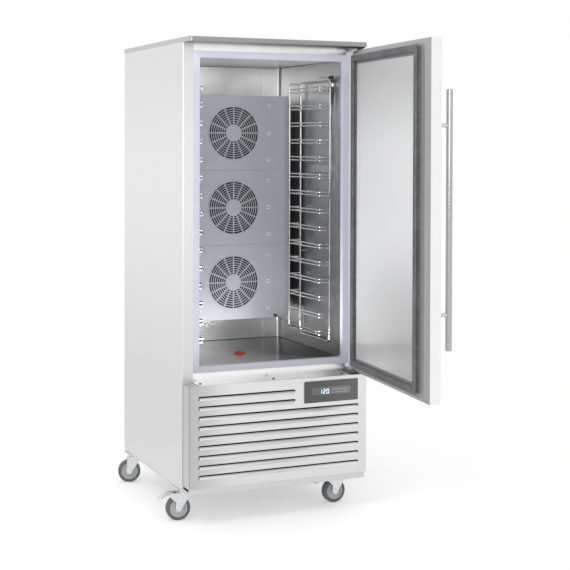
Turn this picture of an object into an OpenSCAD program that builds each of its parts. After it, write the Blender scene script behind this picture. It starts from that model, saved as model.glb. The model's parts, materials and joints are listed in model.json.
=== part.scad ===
// Blast chiller cabinet on castors, drawn with its door standing open.
// Millimetres, +Z up. The drawing frame has X = 0 in the middle of the cabinet and Y = 0 on the front frame;
// placed() then moves the whole object so that the origin is under the middle of its bounding box.

/* [Cabinet] */
// Width over the side panels
cabinet_w = 790; // [760:5:880]
// Depth from the front frame to the back panel
cabinet_d = 792; // [780:2:860]
// Height of the roof above the floor
cabinet_h = 1964; // [1950:2:2080]
// Height of the folded edge of the roof cap
cap_h = 20; // [16:1:26]
// How far the front panel and the cap stand before the front frame
nose_d = 82; // [76:1:96]
// Height of the lower edge of the side panels
side_z = 148; // [146:1:156]
// Height of the lower edge of the front panel
panel_z = 162; // [152:1:176]
// Height of the sill under the door
sill_z = 573; // [566:1:590]
// Thickness of the steel sheet
sheet_t = 1.2; // [0.8:0.1:2]
// Outside radius of the sheet folds
fold_r = 4; // [2.5:0.5:6]
// Width of the front stile folded from each side panel
stile_w = 46; // [40:1:54]

/* [Cavity] */
// Clear width between the liner walls
cavity_w = 656; // [640:2:668]
// Depth of the cavity behind the front frame
cavity_d = 688; // [680:2:700]
// Height of the cavity floor above the ground
floor_z = 630; // [620:1:645]
// Height of the cavity ceiling above the ground
ceiling_z = 1891; // [1875:1:1900]
// Thickness of the liner sheet
liner_t = 1; // [0.8:0.1:1.6]
// How far the breaker frame covers the liner at each edge
breaker_step = 6; // [3:0.5:10]
// Diameter of the drain bore
drain_bore = 34; // [28:1:42]

/* [Door] */
// Width of the door
door_w = 780; // [760:2:800]
// Height of the lower edge of the door
door_z0 = 583; // [580:1:600]
// Height of the upper edge of the door
door_z1 = 1930; // [1915:1:1936]
// Thickness of the door over its liner
door_t = 61; // [52:1:70]
// Bevel between the door's edge strip and its inner face
door_bevel = 17; // [10:1:22]
// Depth of the gasket
gasket_d = 20; // [14:1:22]
// Distance of the hinge axis from the hinge side of the door
hinge_in = 15; // [12:1:20]
// Distance of the hinge axis from the outer face of the door
hinge_back = 25; // [20:1:30]
// Angle at which the door stands open
door_open = 84.1; // [0:0.1:110]
// Diameter of the handle bar
handle_bar_d = 25; // [20:1:32]
// Length of the handle bar
handle_l = 973; // [800:1:1100]
// Distance of the handle bar's axis from the door face
handle_out = 53.5; // [45:0.5:75]

/* [Front panel] */
// Number of louvres
louvre_count = 9; // [6:1:9]
// Distance from louvre to louvre
louvre_pitch = 39.4; // [36:0.2:41]
// Height of one louvre
louvre_h = 20; // [14:1:24]
// Depth to which a louvre is pressed in
louvre_press = 9; // [6:0.5:14]
// Width of the control fascia
fascia_w = 245.5; // [220:0.5:260]
// Height of the control fascia
fascia_h = 89; // [80:1:96]

/* [Fans] */
// Distance of the fan wall behind the front frame
fan_wall_y = 439; // [436:1:460]
// Width of a fan cover panel
fan_panel_w = 538; // [500:2:560]
// Height of a fan cover panel
fan_panel_h = 331; // [300:1:345]
// Number of slot rings in a fan grille
grille_rings = 8; // [5:1:8]
// Distance from ring to ring
grille_pitch = 10; // [9:0.25:10.5]
// Width of a ring slot
slot_w = 6.5; // [4:0.5:7]
// Number of spokes in a fan grille
grille_spokes = 16; // [8:2:16]
// Diameter of an evaporator fan
fan_d = 216; // [180:2:224]

/* [Racks] */
// Number of runner levels
rack_levels = 15; // [10:1:15]
// Distance from level to level
rack_pitch = 74.8; // [60:0.2:76]
// Diameter of the runner rods
runner_d = 6; // [5:0.5:7]
// Diameter of the frame rods
post_d = 8; // [7:0.5:9]
// Gap between the axes of the two rods of one level
runner_gap = 14.2; // [12:0.2:18]
// Length of the rack from its front post to its rear post
rack_l = 302; // [280:2:306]

/* [Castors] */
// Diameter of a castor wheel
wheel_d = 100; // [92:1:101]
// Width of a castor wheel
wheel_w = 32; // [28:1:36]
// Distance of the wheel axle from the swivel axis
trail = 30; // [24:1:36]
// Distance of a swivel axis from the middle of the cabinet
castor_x = 352; // [330:1:353]
// Turn of the front left castor
turn_front_left = 8; // [-30:1:60]
// Turn of the front right castor
turn_front_right = 0; // [-30:1:60]
// Turn of the rear left castor
turn_rear_left = 15; // [-30:1:60]
// Turn of the rear right castor
turn_rear_right = 5; // [-30:1:60]
// Reach of a brake pedal from the swivel axis
pedal_reach = 115; // [108:1:125]

/* [Hidden] */
$fn = 48;
overrun = 1;
seat_gap = 0.3;
shaft_gap = 0.05;

// Colours
steel = "#dcdcdc";
polished = "#c4c6c6";
lilac = "#cfd2e3";
dark = "#3c3c3e";
black = "#1c1c1e";
foam_colour = "#e8d9a8";
zinc = "#b8bbbd";
rubber = "#4c4e53";
copper = "#b87048";
red = "#d0452a";

// Cabinet
half_w = cabinet_w / 2;
cap_z = cabinet_h - cap_h;
cap_wall = 1.5;
cap_corner = 12;
cap_edge = 8;
lip_d = 14;
back_flange = 25;
frame_half = half_w - stile_w;
inner_back_y = cabinet_d - 2 * sheet_t;
header_h = 32;
header_z = cap_z - header_h;
sill_h = 37;
sill_top = sill_z + sill_h;

// Cavity
cavity_half = cavity_w / 2;
liner_corner = 12;
breaker_t = 4;
breaker_return = 24;
opening_half = cavity_half - breaker_step;
opening_z0 = floor_z + breaker_step;
opening_z1 = ceiling_z - breaker_step;
opening_corner = 8;
pan_t = 18;
dish_d = 8;
dish_margin = 18;
drain_x = -12;
drain_y = 340;
drain_flat = 60;
drain_wall = 5;
drain_d = drain_bore + 2 * drain_wall;
outlet_drop = 53;
outlet_z = sill_z - outlet_drop;
outlet_bend = 45;
outlet_out = 12;
plug_d = 46;
plug_h = 6;
plug_edge = 2.5;
plug_stem_l = 16;
plug_grip_d = 14;
plug_grip_h = 7;

// Base and machine space
base_t = 2;
channel_h = 12;
channel_w = 60;
plate_top = side_z - base_t - channel_h;
tray_z = side_z;
base_set_back = 12;
base_front = base_set_back - nose_d;
base_in = 5;

// Front panel
flank_gap = 5;
louvre_drop = 42;
louvre_top = sill_z - louvre_drop;
louvre_end = 46;
louvre_round = 7;
short_louvres = 2;
long_end = 44.5;
louvre_bend_shares = [0.35, 0.3];
screw_x_shares = [-0.84, -0.03, 0.76];
screw_y = -36;
screw_head_d = 12;
screw_head_h = 3;
screw_slot = 1.4;
screw_shank_d = 5;
screw_l = 9;
fascia_t = 3.5;
fascia_corner = 4;
fascia_drop = 15;
fascia_in = 42.5;
fascia_x = half_w - fascia_in - fascia_w / 2;
fascia_z = sill_z - fascia_drop - fascia_h / 2;
fascia_rim = 6;
window_w = 178;
window_h = 31.5;
window_d = 0.5;
window_lift = 2;
control_d = 26;

// Fan wall
fan_panel_rise = 127;
fan_panel_z = floor_z + fan_panel_rise;
fan_count = 3;
fan_wall_top = fan_panel_z + fan_count * fan_panel_h;
panel_joint = 0.6;
fan_flange = 15;
grille_r0 = 38;
spoke_w = 5;
rim_w = 3;
rim_h = 2.2;
rim_r = grille_r0 + grille_rings * grille_pitch + rim_w;
hub_ring_r = 29;
cap_screw_x = 166;
cap_screw_z = 119;
cap_screw_d = 17;
cap_screw_h = 5;
cap_screw_edge = 2;
screw_dome_share = 1.6;
rail_w = 20;
rail_t = 2;
rail_d = 44;
rail_y0 = fan_wall_y + sheet_t;
strip_h = 60;
strip_y = rail_y0 + rail_d - rail_t;
motor_d = 72;
motor_l = 34;
motor_edge = 8;
shaft_d = 8;
rotor_back = 8;
rotor_y = rail_y0 + rotor_back;
rotor_hub_d = 52;
rotor_hub_l = 26;
rotor_blades = 5;
blade_chord = 56;
blade_t = 2;
blade_tilt = 28;
blade_bow = 60;

// Evaporator
coil_w = 570;
coil_d = 100;
coil_back = 12;
coil_y = strip_y + rail_t + motor_l + coil_back;
coil_in = 30;
coil_z0 = fan_panel_z + coil_in;
coil_z1 = fan_wall_top - coil_in;
coil_end_t = 3;
coil_fin_gap = 4;
coil_fin_pitch = 12;
coil_groove = 8;
bend_rows = 12;
bend_d = 12;
bend_w = 50;
drip_t = 1.2;
arm_h = coil_in - rail_t - drip_t;
drip_lip = 14;

// Racks
rack_y0 = 110;
rack_y1 = rack_y0 + rack_l;
rack_wall_gap = 14.5;
rack_x = cavity_half - rack_wall_gap;
runner_reach = 51.5;
rack_in_x = rack_x - runner_reach;
rack_drop = 119;
rack_top_level = ceiling_z - rack_drop;
rack_edge = 38;
rack_z1 = rack_top_level + rack_edge;
rack_z0 = rack_top_level - (rack_levels - 1) * rack_pitch - rack_edge;
runner_bend = 9;
post_bend = 10;
stop_y = rack_y1 + runner_d / 2 + post_d / 2;
stop_drop = 6;
stop_rise = 29;
stop_top = rack_z1 - stop_drop;
stop_bottom = rack_z0 + stop_rise;
spacer_d = 3.5;
spacer_shares = [0.07, 0.6];
hanger_h = 32;
hanger_z = 1414;
hanger_l = 274;
hook_z = 1059;
hook_d = 10;

// Food probe
probe_y = 95;
probe_out = 3.5;
probe_x = rack_x + probe_out;
probe_z = 1821;
grip_d = 18;
grip_end_d = 8;
grip_nose_d = 12.6;
grip_straight = 46;
grip_l = 116;
elbow_l = 18;
needle_d = 4;
needle_l = 53;
needle_point = 8;
clip_z = rack_top_level + (runner_gap + runner_d) / 2 + overrun;
clip_h = 14;
clip_wall = 1.5;
gland_x = 200;
gland_rise = 10;
gland_z = fan_panel_z + gland_rise;
gland_d = 14;
gland_l = 12;
gland_nose_share = 0.72;
cable_d = 4;
mains_x = 250;
mains_z = 230;
mains_d = 24;
mains_bore = 10;
mains_l = 14;

// Cable route, points chosen by hand from the handle down to the gland on the fan wall
cable_points = [
    [317, 95, 1705], [317, 95, 1692], [316, 95, 1670], [312, 94, 1636], [311, 91, 1597], [313, 85, 1560],
    [315, 79, 1510], [315, 78, 1460], [314, 80, 1413], [311, 88, 1376], [307, 94, 1324], [299, 96, 1254],
    [297, 96, 1190], [289, 97, 1130], [277, 98, 1058], [292, 96, 997], [308, 88, 952], [314, 64, 916],
    [315, 49, 888], [314, 60, 860], [306, 84, 832], [294, 94, 806], [290, 95, 780], [292, 100, 758],
    [296, 114, 742], [297, 132, 728], [297, 160, 715], [294, 190, 708], [290, 225, 704], [284, 260, 707],
    [275, 292, 717], [263, 320, 725], [252, 344, 730], [241, 366, 738], [229, 386, 747], [216, 404, 757],
    [206, 416, 764], [201, 423, 766], [200, 427, 767]];

// Refrigeration unit
cond_x0 = -340;
cond_w = 380;
cond_y0 = -56;
cond_d = 52;
cond_rise = 16;
cond_z0 = tray_z + cond_rise;
cond_h = 350;
cond_end_t = 3;
cond_fin_gap = 4;
cond_fin_pitch = 12;
cond_groove = 6;
shroud_d = 40;
shroud_t = 1.5;
shroud_hole_d = 262;
cond_fan_d = 250;
cond_fan_z = cond_z0 + cond_h / 2;
cond_fan_x = cond_x0 + cond_w / 2;
cond_fan_back = 14;
cond_fan_y = cond_y0 + cond_d + cond_fan_back;
cond_hub_d = 60;
cond_hub_l = 24;
cond_motor_d = 84;
cond_motor_l = 60;
cond_motor_back = 24;
cond_motor_y = cond_y0 + cond_d + shroud_d + cond_motor_back;
stand_w = 40;
stand_t = 3;
comp_x = 190;
comp_y = 500;
comp_d = 190;
comp_h = 220;
comp_round = 45;
comp_seam_d = 8;
comp_foot_h = 20;
comp_foot_d = 28;
comp_foot_x = 90;
comp_plate_t = 4;
receiver_x = -230;
receiver_y = 420;
receiver_d = 90;
receiver_h = 230;
receiver_round = 20;
receiver_band_h = 12;
pipe_d = 12;
fitting_d = 15;
pipe_shares = [0.2, 0.9];
pipe_low = cond_z0 + cond_h * pipe_shares[0];
pipe_top = cond_z0 + cond_h * pipe_shares[1];
liquid_rise = 50;
line_x = 250;
line_in = 50;
line_y = cavity_d + line_in;
line_rise = 60;
line_z = coil_z0 + line_rise;
line_gap = 0.5;

// Hinges
pin_d = 12;
pin_l = 34;
bracket_t = 5;
bracket_w = 48;
collar_d = 26;
bush_d = 30;
bush_l = 36;
door_shift = 3;
hinge_x = door_w / 2 - door_shift - hinge_in;
hinge_y = -nose_d + hinge_back;

// Door
door_x1 = hinge_x + hinge_in;
door_x0 = door_x1 - door_w;
door_mid_x = (door_x0 + door_x1) / 2;
door_edge_d = door_t - door_bevel;
door_in_y = -nose_d + door_t;
door_skin = 1.5;
door_mid_z = (door_z0 + door_z1) / 2;
gasket_over = 16;
gasket_half = opening_half + gasket_over;
gasket_w = 27;
gasket_under = 24;
gasket_above = 21;
gasket_z0 = opening_z0 - gasket_under;
gasket_z1 = opening_z1 + gasket_above;
gasket_corner = 10;
gasket_base_share = 0.86;
gasket_waist_share = 0.5;
gasket_depth_shares = [0.35, 0.65, 1];
plate_lift = 5;
plate_in = 4;
plate_slope = 6;

// Handle
handle_in = 51;
handle_x = door_x0 + handle_in;
handle_mid_z = door_mid_z;
handle_post_z = 352;
handle_post_d = 16;
handle_foot_d = 30;
handle_foot_h = 4;
handle_end = 3;

// Castors
castor_y0 = 85;
castor_in = 42;
castor_y1 = cabinet_d - castor_in;
plate_x = 84;
plate_y = 104;
plate_t = 4;
race_d = 66;
race_h = 12;
kingpin_d = 12;
pin_head_d = 20;
pin_head_h = 4;
crown_t = 3;
fork_race_h = 5;
fork_race_d = 62;
fork_top = plate_top - plate_t - race_h - seat_gap;
crown_z = fork_top - fork_race_h - crown_t;
leg_t = 3;
leg_gap = 3.5;
leg_in = wheel_w / 2 + leg_gap;
leg_foot_r = 13;
crown_front = 24;
crown_back = 40;
axle_d = 10;
axle_nut_d = 17;
axle_nut_h = 6;
tyre_round = 6;
tyre_t = 14;
hub_r = wheel_d / 2 - tyre_t;
hub_rim = 5;
hub_dish = 6;
hub_boss_r = 12;
plate_bolt_d = 14;
plate_bolt_h = 5;
bolt_x = 30;
bolt_y = 40;
pivot_u = 60;
pivot_drop = 4;
pivot_z = crown_z - pivot_drop;
pivot_d = 8;
ear_r = 9;
ear_top_share = 0.9;
ear_side_share = 0.7;
pedal_w = 33;
pedal_t = 3;
pedal_rise = 7;
pedal_front = 50;
pedal_r = 92;
pedal_lip = 12;
pedal_layer = 5;
shoe_r = 7;

// Reach of the whole object, which centres it on its origin
pedal_left = castor_x + pedal_reach * cos(turn_front_left) + pedal_w / 2 * sin(turn_front_left);
door_right = hinge_x + hinge_in * cos(door_open) + hinge_back * sin(door_open);
latch_l = door_w - hinge_in;
door_front = hinge_y - latch_l * sin(door_open) - hinge_back * cos(door_open);
back_reach = cabinet_d + mains_l;
mid_x = (pedal_left - max(door_right, half_w)) / 2;
mid_y = -(door_front + back_reach) / 2;

// Placing and drawing helpers
module placed() {
    translate([mid_x, mid_y, 0]) children();
}

module both_sides() {
    children();
    mirror([1, 0, 0]) children();
}

// Box between two opposite corners
module block(low, high) {
    translate(low) cube(high - low);
}

// Drawing in X and Z, given a thickness along Y
module face(y0, y1) {
    translate([0, y1, 0]) rotate([90, 0, 0]) linear_extrude(y1 - y0) children();
}

// Drawing in Y and Z, given a length along X
module across(x0, x1) {
    translate([x0, 0, 0]) rotate([90, 0, 90]) linear_extrude(x1 - x0) children();
}

// Drawing in X and Y, given a height along Z
module upright(z0, z1) {
    translate([0, 0, z0]) linear_extrude(z1 - z0) children();
}

module rounded_plate(w, h, r) {
    square([w - 2 * r, h], center = true);
    square([w, h - 2 * r], center = true);
    for (x = [-1, 1], y = [-1, 1]) translate([x * (w / 2 - r), y * (h / 2 - r)]) circle(r);
}

module frame_outline(w, h, r, edge) {
    difference() {
        rounded_plate(w, h, r);
        rounded_plate(w - 2 * edge, h - 2 * edge, max(r - edge, r / 2));
    }
}

// Quarter of a ring, for the fold of a sheet
module fold_ring(r, t) {
    intersection() {
        difference() {
            circle(r);
            circle(r - t);
        }
        square(r);
    }
}

// Round rod between two points
module rod(a, b, d) {
    v = b - a;
    translate(a) rotate([0, acos(v.z / norm(v)), atan2(v.y, v.x)]) cylinder(h = norm(v), d = d);
}

// Bored or solid round piece along Y
module turned_y(y0, y1, d) {
    translate([0, y0, 0]) rotate([-90, 0, 0]) cylinder(h = y1 - y0, d = d);
}

// Vessel or knob with rounded rims, standing on z = 0
module rounded_can(d, h, r) {
    rotate_extrude() intersection() {
        translate([0, h / 2]) rounded_plate(d, h, r);
        square([d / 2, h]);
    }
}

// Cabinet
module side_profile() {
    depth = cabinet_d - sheet_t;
    translate([half_w - sheet_t, fold_r]) square([sheet_t, depth - 2 * fold_r]);
    translate([frame_half, 0]) square([stile_w - fold_r, sheet_t]);
    translate([frame_half, 0]) square([sheet_t, lip_d]);
    translate([half_w - back_flange, depth - sheet_t]) square([back_flange - fold_r, sheet_t]);
    translate([half_w - fold_r, fold_r]) rotate(-90) fold_ring(fold_r, sheet_t);
    translate([half_w - fold_r, depth - fold_r]) fold_ring(fold_r, sheet_t);
}

module side_panel_right() {
    color(steel) upright(side_z, cap_z) side_profile();
}

module side_panel_left() {
    mirror([1, 0, 0]) side_panel_right();
}

rear_slot_w = 70;
rear_slot_h = 6;
rear_slot_pitch_x = 92;
rear_slot_pitch_z = 20;
rear_slot_rise = 90;
rear_slot_z = tray_z + rear_slot_rise;
rear_columns = 3;
rear_rows = 11;
slot_round_share = 0.49;

module back_panel() {
    height = cap_z - side_z - 2 * fold_r;
    color(steel) face(cabinet_d - sheet_t, cabinet_d) difference() {
        translate([0, side_z + fold_r + height / 2]) rounded_plate(cabinet_w - 2 * fold_r, height, fold_r);
        for (i = [0:rear_columns - 1], j = [0:rear_rows - 1])
            translate([-rear_slot_pitch_x * (i + 1), rear_slot_z + j * rear_slot_pitch_z])
                rounded_plate(rear_slot_w, rear_slot_h, rear_slot_h * slot_round_share);
        translate([drain_x, outlet_z]) circle(d = drain_d + 2 * seat_gap);
        translate([mains_x, mains_z]) circle(d = mains_bore);
    }
}

module cap_plan() {
    translate([-half_w, cap_corner - nose_d]) square([cabinet_w, cabinet_d + nose_d - cap_corner]);
    translate([cap_corner - half_w, -nose_d]) square([cabinet_w - 2 * cap_corner, 2 * cap_corner]);
    for (s = [-1, 1]) translate([s * (half_w - cap_corner), cap_corner - nose_d]) circle(cap_corner);
}

module cap_side() {
    translate([-nose_d, cap_z]) square([cabinet_d + nose_d, cap_h - cap_edge]);
    translate([cap_edge - nose_d, cap_z]) square([cabinet_d + nose_d - cap_edge, cap_h]);
    translate([cap_edge - nose_d, cabinet_h - cap_edge]) circle(cap_edge);
}

module roof_cap() {
    color(steel) difference() {
        intersection() {
            upright(cap_z, cabinet_h) cap_plan();
            across(-half_w, half_w) cap_side();
        }
        block([cap_wall - half_w, lip_d, cap_z - overrun],
            [half_w - cap_wall, cabinet_d - cap_wall, cabinet_h - cap_wall]);
    }
}

// Plan between the side panels' folds
module foam_plan() {
    reach = half_w - sheet_t;
    depth = inner_back_y - lip_d;
    r = fold_r;
    translate([-reach, lip_d]) square([2 * reach, depth - r]);
    translate([r - reach, lip_d]) square([2 * (reach - r), depth]);
    for (s = [-1, 1]) translate([s * (reach - r), inner_back_y - r]) circle(r);
}

module cabinet_foam() {
    liner_half = cavity_half + liner_t;
    color(foam_colour) difference() {
        upright(sill_z + sheet_t, cap_z) foam_plan();
        block([-liner_half, 0, floor_z - pan_t], [liner_half, cavity_d + liner_t, ceiling_z + liner_t]);
        translate([drain_x, drain_y, sill_z]) cylinder(h = floor_z - sill_z, d = drain_d + 2 * seat_gap);
        suction_line(fitting_d + 2 * line_gap);
    }
}

// Last run of the suction line, up through the foam and forward to the coil
module suction_line(d) {
    rod([line_x, line_y, pipe_top], [line_x, line_y, line_z], d);
    rod([line_x, line_y, line_z], [line_x, coil_y + coil_d + seat_gap, line_z], d);
    translate([line_x, line_y, line_z]) sphere(d = d);
}

module liner_plan(edge) {
    reach = cavity_half + edge;
    translate([-reach, breaker_return]) square([2 * reach, cavity_d + edge - liner_corner - breaker_return]);
    translate([liner_corner - reach, breaker_return])
        square([2 * (reach - liner_corner), cavity_d + edge - breaker_return]);
    for (s = [-1, 1]) translate([s * (reach - liner_corner), cavity_d + edge - liner_corner])
        circle(liner_corner);
}

module inner_liner() {
    color(polished) {
        difference() {
            upright(floor_z, ceiling_z) difference() {
                liner_plan(liner_t);
                liner_plan(0);
            }
            suction_line(pipe_d + 2 * line_gap);
        }
        upright(ceiling_z, ceiling_z + liner_t) liner_plan(liner_t);
    }
}

module floor_pan() {
    low = floor_z - pan_t;
    edge = cavity_half - dish_margin;
    color(polished) difference() {
        upright(low, floor_z) liner_plan(liner_t);
        hull() {
            block([-edge, breaker_return + dish_margin, floor_z],
                [edge, cavity_d - dish_margin, floor_z + overrun]);
            translate([drain_x, drain_y, floor_z - dish_d + drain_flat / 2])
                cube(drain_flat, center = true);
        }
        translate([drain_x, drain_y, low - overrun]) cylinder(h = pan_t + 2 * overrun, d = drain_bore);
    }
}

module channel_profile(z0, z1) {
    translate([0, z0]) square([sheet_t, z1 - z0]);
    translate([0, z0]) square([lip_d, sheet_t]);
    translate([0, z1 - sheet_t]) square([lip_d, sheet_t]);
}

module front_frame() {
    color(steel) {
        across(-frame_half, frame_half) channel_profile(header_z, cap_z);
        across(-frame_half, frame_half) channel_profile(sill_z, sill_top);
        difference() {
            upright(sill_z, sill_z + sheet_t) foam_plan();
            translate([drain_x, drain_y, sill_z - overrun])
                cylinder(h = sheet_t + 2 * overrun, d = drain_d + 2 * seat_gap);
            suction_line(pipe_d + 2 * line_gap);
        }
    }
}

module breaker_opening(edge) {
    translate([0, (opening_z0 + opening_z1) / 2])
        rounded_plate(2 * (opening_half + edge), opening_z1 - opening_z0 + 2 * edge, opening_corner);
}

module breaker_frame() {
    color(lilac) {
        face(0, breaker_t) difference() {
            translate([-frame_half, sill_top]) square([2 * frame_half, header_z - sill_top]);
            breaker_opening(0);
        }
        face(breaker_t, breaker_return) difference() {
            breaker_opening(breaker_step + liner_t);
            breaker_opening(0);
        }
    }
}

module drain_plug() {
    seat = floor_z - dish_d + seat_gap;
    color(red) translate([drain_x, drain_y, seat]) {
        rounded_can(plug_d, plug_h, plug_edge);
        translate([0, 0, plug_h - plug_edge]) rounded_can(plug_grip_d, plug_grip_h, plug_edge);
        translate([0, 0, -plug_stem_l]) cylinder(h = plug_stem_l + plug_edge, d = drain_bore - 2 * seat_gap);
    }
}

module drain_route(d) {
    translate([drain_x, drain_y, outlet_z + outlet_bend])
        cylinder(h = floor_z - pan_t - outlet_z - outlet_bend, d = d);
    translate([drain_x, drain_y + outlet_bend, outlet_z + outlet_bend]) rotate([-90, 0, -90])
        rotate_extrude(angle = 90) translate([outlet_bend, 0]) circle(d = d);
    translate([drain_x, drain_y + outlet_bend, outlet_z]) rotate([-90, 0, 0])
        cylinder(h = cabinet_d + outlet_out - drain_y - outlet_bend, d = d);
}

module drain_pipe() {
    color("#d8d8d4") difference() {
        drain_route(drain_d);
        drain_route(drain_bore);
    }
}

module base_frame() {
    edge = half_w - base_in;
    back = cabinet_d - base_in;
    low = side_z - base_t;
    color("#9a9c9e") {
        block([-edge, base_front, low], [edge, back, side_z]);
        both_sides() block([edge - channel_w, base_front, plate_top], [edge, back, low]);
        block([-edge, base_front, plate_top], [edge, base_front + channel_w, low]);
        block([-edge, back - channel_w, plate_top], [edge, back, low]);
    }
}

// Front panel with its pressed louvres
function louvre_left() = louvre_end - half_w;
function louvre_right(k) = k < short_louvres ? fascia_x - fascia_w / 2 - louvre_end : half_w - long_end;
function louvre_z(k) = louvre_top - k * louvre_pitch;

module louvre_window(x0, x1, z1) {
    r = louvre_round;
    translate([x0 - r, z1 - louvre_h]) square([x1 - x0 + 2 * r, louvre_h - r]);
    translate([x0, z1 - louvre_h]) square([x1 - x0, louvre_h]);
    for (x = [x0, x1]) translate([x, z1 - r]) circle(r);
}

module louvre_slat(x0, x1, z1) {
    low = z1 - louvre_h;
    front = -nose_d;
    bend_y = louvre_press * louvre_bend_shares[0];
    bend_z = louvre_h * louvre_bend_shares[1];
    across(x0 - louvre_round, x1 + louvre_round) polygon([
        [front, low], [front + bend_y, low + bend_z], [front + louvre_press, z1],
        [front + louvre_press + sheet_t, z1], [front + bend_y + sheet_t, low + bend_z],
        [front + sheet_t, low]]);
    for (x = [x0 - louvre_round, x1 + louvre_round - sheet_t])
        across(x, x + sheet_t) polygon([[front, low], [front, z1 - louvre_round],
            [front + louvre_press, z1], [front + bend_y, low + bend_z]]);
}

module panel_plan() {
    depth = nose_d - flank_gap;
    translate([fold_r - half_w, -nose_d]) square([cabinet_w - 2 * fold_r, sheet_t]);
    both_sides() {
        translate([half_w - sheet_t, fold_r - nose_d]) square([sheet_t, depth - fold_r]);
        translate([half_w - fold_r, fold_r - nose_d]) rotate(-90) fold_ring(fold_r, sheet_t);
    }
}

module louvre_panel() {
    color(steel) {
        difference() {
            union() {
                upright(panel_z, sill_z) panel_plan();
                block([fold_r - half_w, sheet_t - nose_d, sill_z - sheet_t],
                    [half_w - fold_r, 0, sill_z]);
            }
            face(-nose_d - overrun, 2 * sheet_t - nose_d) {
                for (k = [0:louvre_count - 1])
                    louvre_window(louvre_left(), louvre_right(k), louvre_z(k));
                translate([fascia_x, fascia_z])
                    square([fascia_w - 2 * fascia_rim, fascia_h - 2 * fascia_rim], center = true);
            }
            for (s = screw_x_shares) translate([s * half_w, screw_y, sill_z - sheet_t - overrun])
                cylinder(h = sheet_t + 2 * overrun, d = screw_shank_d + 2 * shaft_gap);
        }
        for (k = [0:louvre_count - 1])
            louvre_slat(louvre_left(), louvre_right(k), louvre_z(k));
    }
}

module panel_screw() {
    difference() {
        rounded_can(screw_head_d, screw_head_h, screw_head_h / 3);
        for (a = [0, 90]) rotate(a) translate([0, 0, screw_head_h])
            cube([screw_head_d / 2, screw_slot, screw_slot], center = true);
    }
    translate([0, 0, -screw_l]) cylinder(h = screw_l + screw_slot / 2, d = screw_shank_d);
}

module panel_screws() {
    color(zinc) for (s = screw_x_shares) translate([s * half_w, screw_y, sill_z]) panel_screw();
}

module control_fascia() {
    housing_w = fascia_w - 2 * fascia_rim - 2 * seat_gap;
    housing_h = fascia_h - 2 * fascia_rim - 2 * seat_gap;
    color(dark) translate([fascia_x, 0, fascia_z]) difference() {
        union() {
            face(-nose_d - fascia_t, -nose_d) rounded_plate(fascia_w, fascia_h, fascia_corner);
            face(-nose_d, control_d - nose_d) square([housing_w, housing_h], center = true);
        }
        face(-nose_d - fascia_t - overrun, window_d - nose_d - fascia_t)
            translate([0, window_lift]) rounded_plate(window_w, window_h, fascia_corner / 2);
    }
}

// Fan wall
module grille_slots() {
    difference() {
        for (k = [0:grille_rings - 1]) difference() {
            circle(grille_r0 + k * grille_pitch + slot_w);
            circle(grille_r0 + k * grille_pitch);
        }
        for (a = [0:360 / grille_spokes:179]) rotate(a) square([2 * rim_r, spoke_w], center = true);
    }
}

module fan_panel(k) {
    z0 = fan_panel_z + k * fan_panel_h;
    color("#9fa2ab") translate([0, 0, z0 + fan_panel_h / 2]) {
        face(fan_wall_y, fan_wall_y + sheet_t) difference() {
            square([fan_panel_w, fan_panel_h - panel_joint], center = true);
            grille_slots();
        }
        both_sides() block([fan_panel_w / 2 - sheet_t, fan_wall_y, (panel_joint - fan_panel_h) / 2],
            [fan_panel_w / 2, fan_wall_y + fan_flange, (fan_panel_h - panel_joint) / 2]);
        translate([0, fan_wall_y, 0]) rotate([90, 0, 0]) {
            rotate_extrude() translate([rim_r - rim_w, 0]) square([rim_w, rim_h]);
            rotate_extrude() translate([hub_ring_r, 0]) square([rim_w / 2, rim_h / 2]);
            rounded_can(rim_w * screw_dome_share, rim_h, rim_h / 3);
        }
        for (x = [-cap_screw_x, cap_screw_x], z = [-cap_screw_z, 0, cap_screw_z])
            translate([x, fan_wall_y + sheet_t / 2, z]) rotate([90, 0, 0])
                rounded_can(cap_screw_d, cap_screw_h + sheet_t / 2, cap_screw_edge);
    }
}

module evaporator_frame() {
    tray_half = coil_w / 2 + seat_gap + drip_t;
    color(zinc) {
        both_sides() {
            upright(fan_panel_z + rail_t, fan_wall_top - rail_t)
                translate([cap_screw_x, rail_y0 + rail_d / 2]) {
                    translate([0, (rail_t - rail_d) / 2]) square([rail_w, rail_t], center = true);
                    translate([0, (rail_d - rail_t) / 2]) square([rail_w, rail_t], center = true);
                    translate([(rail_w - rail_t) / 2, 0]) square([rail_t, rail_d], center = true);
                }
            for (z = [fan_panel_z + rail_t, fan_wall_top - rail_t - arm_h])
                block([cap_screw_x - rail_w / 2, strip_y, z], [cap_screw_x + rail_w / 2, cavity_d, z + arm_h]);
        }
        for (k = [0:fan_count - 1]) translate([0, 0, fan_centre_z(k)])
            face(strip_y, strip_y + rail_t) difference() {
                square([2 * cap_screw_x - rail_w / 2, strip_h], center = true);
                circle(d = shaft_d + 2 * overrun);
            }
        translate([0, 0, coil_z0 - drip_t]) difference() {
            block([-tray_half, coil_y - drip_lip, 0], [tray_half, coil_y + coil_d + drip_lip, drip_lip]);
            block([drip_t - tray_half, coil_y - drip_lip + drip_t, drip_t],
                [tray_half - drip_t, coil_y + coil_d + drip_lip - drip_t, drip_lip + overrun]);
        }
    }
}

function fan_centre_z(k) = fan_panel_z + (k + 0.5) * fan_panel_h;

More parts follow.
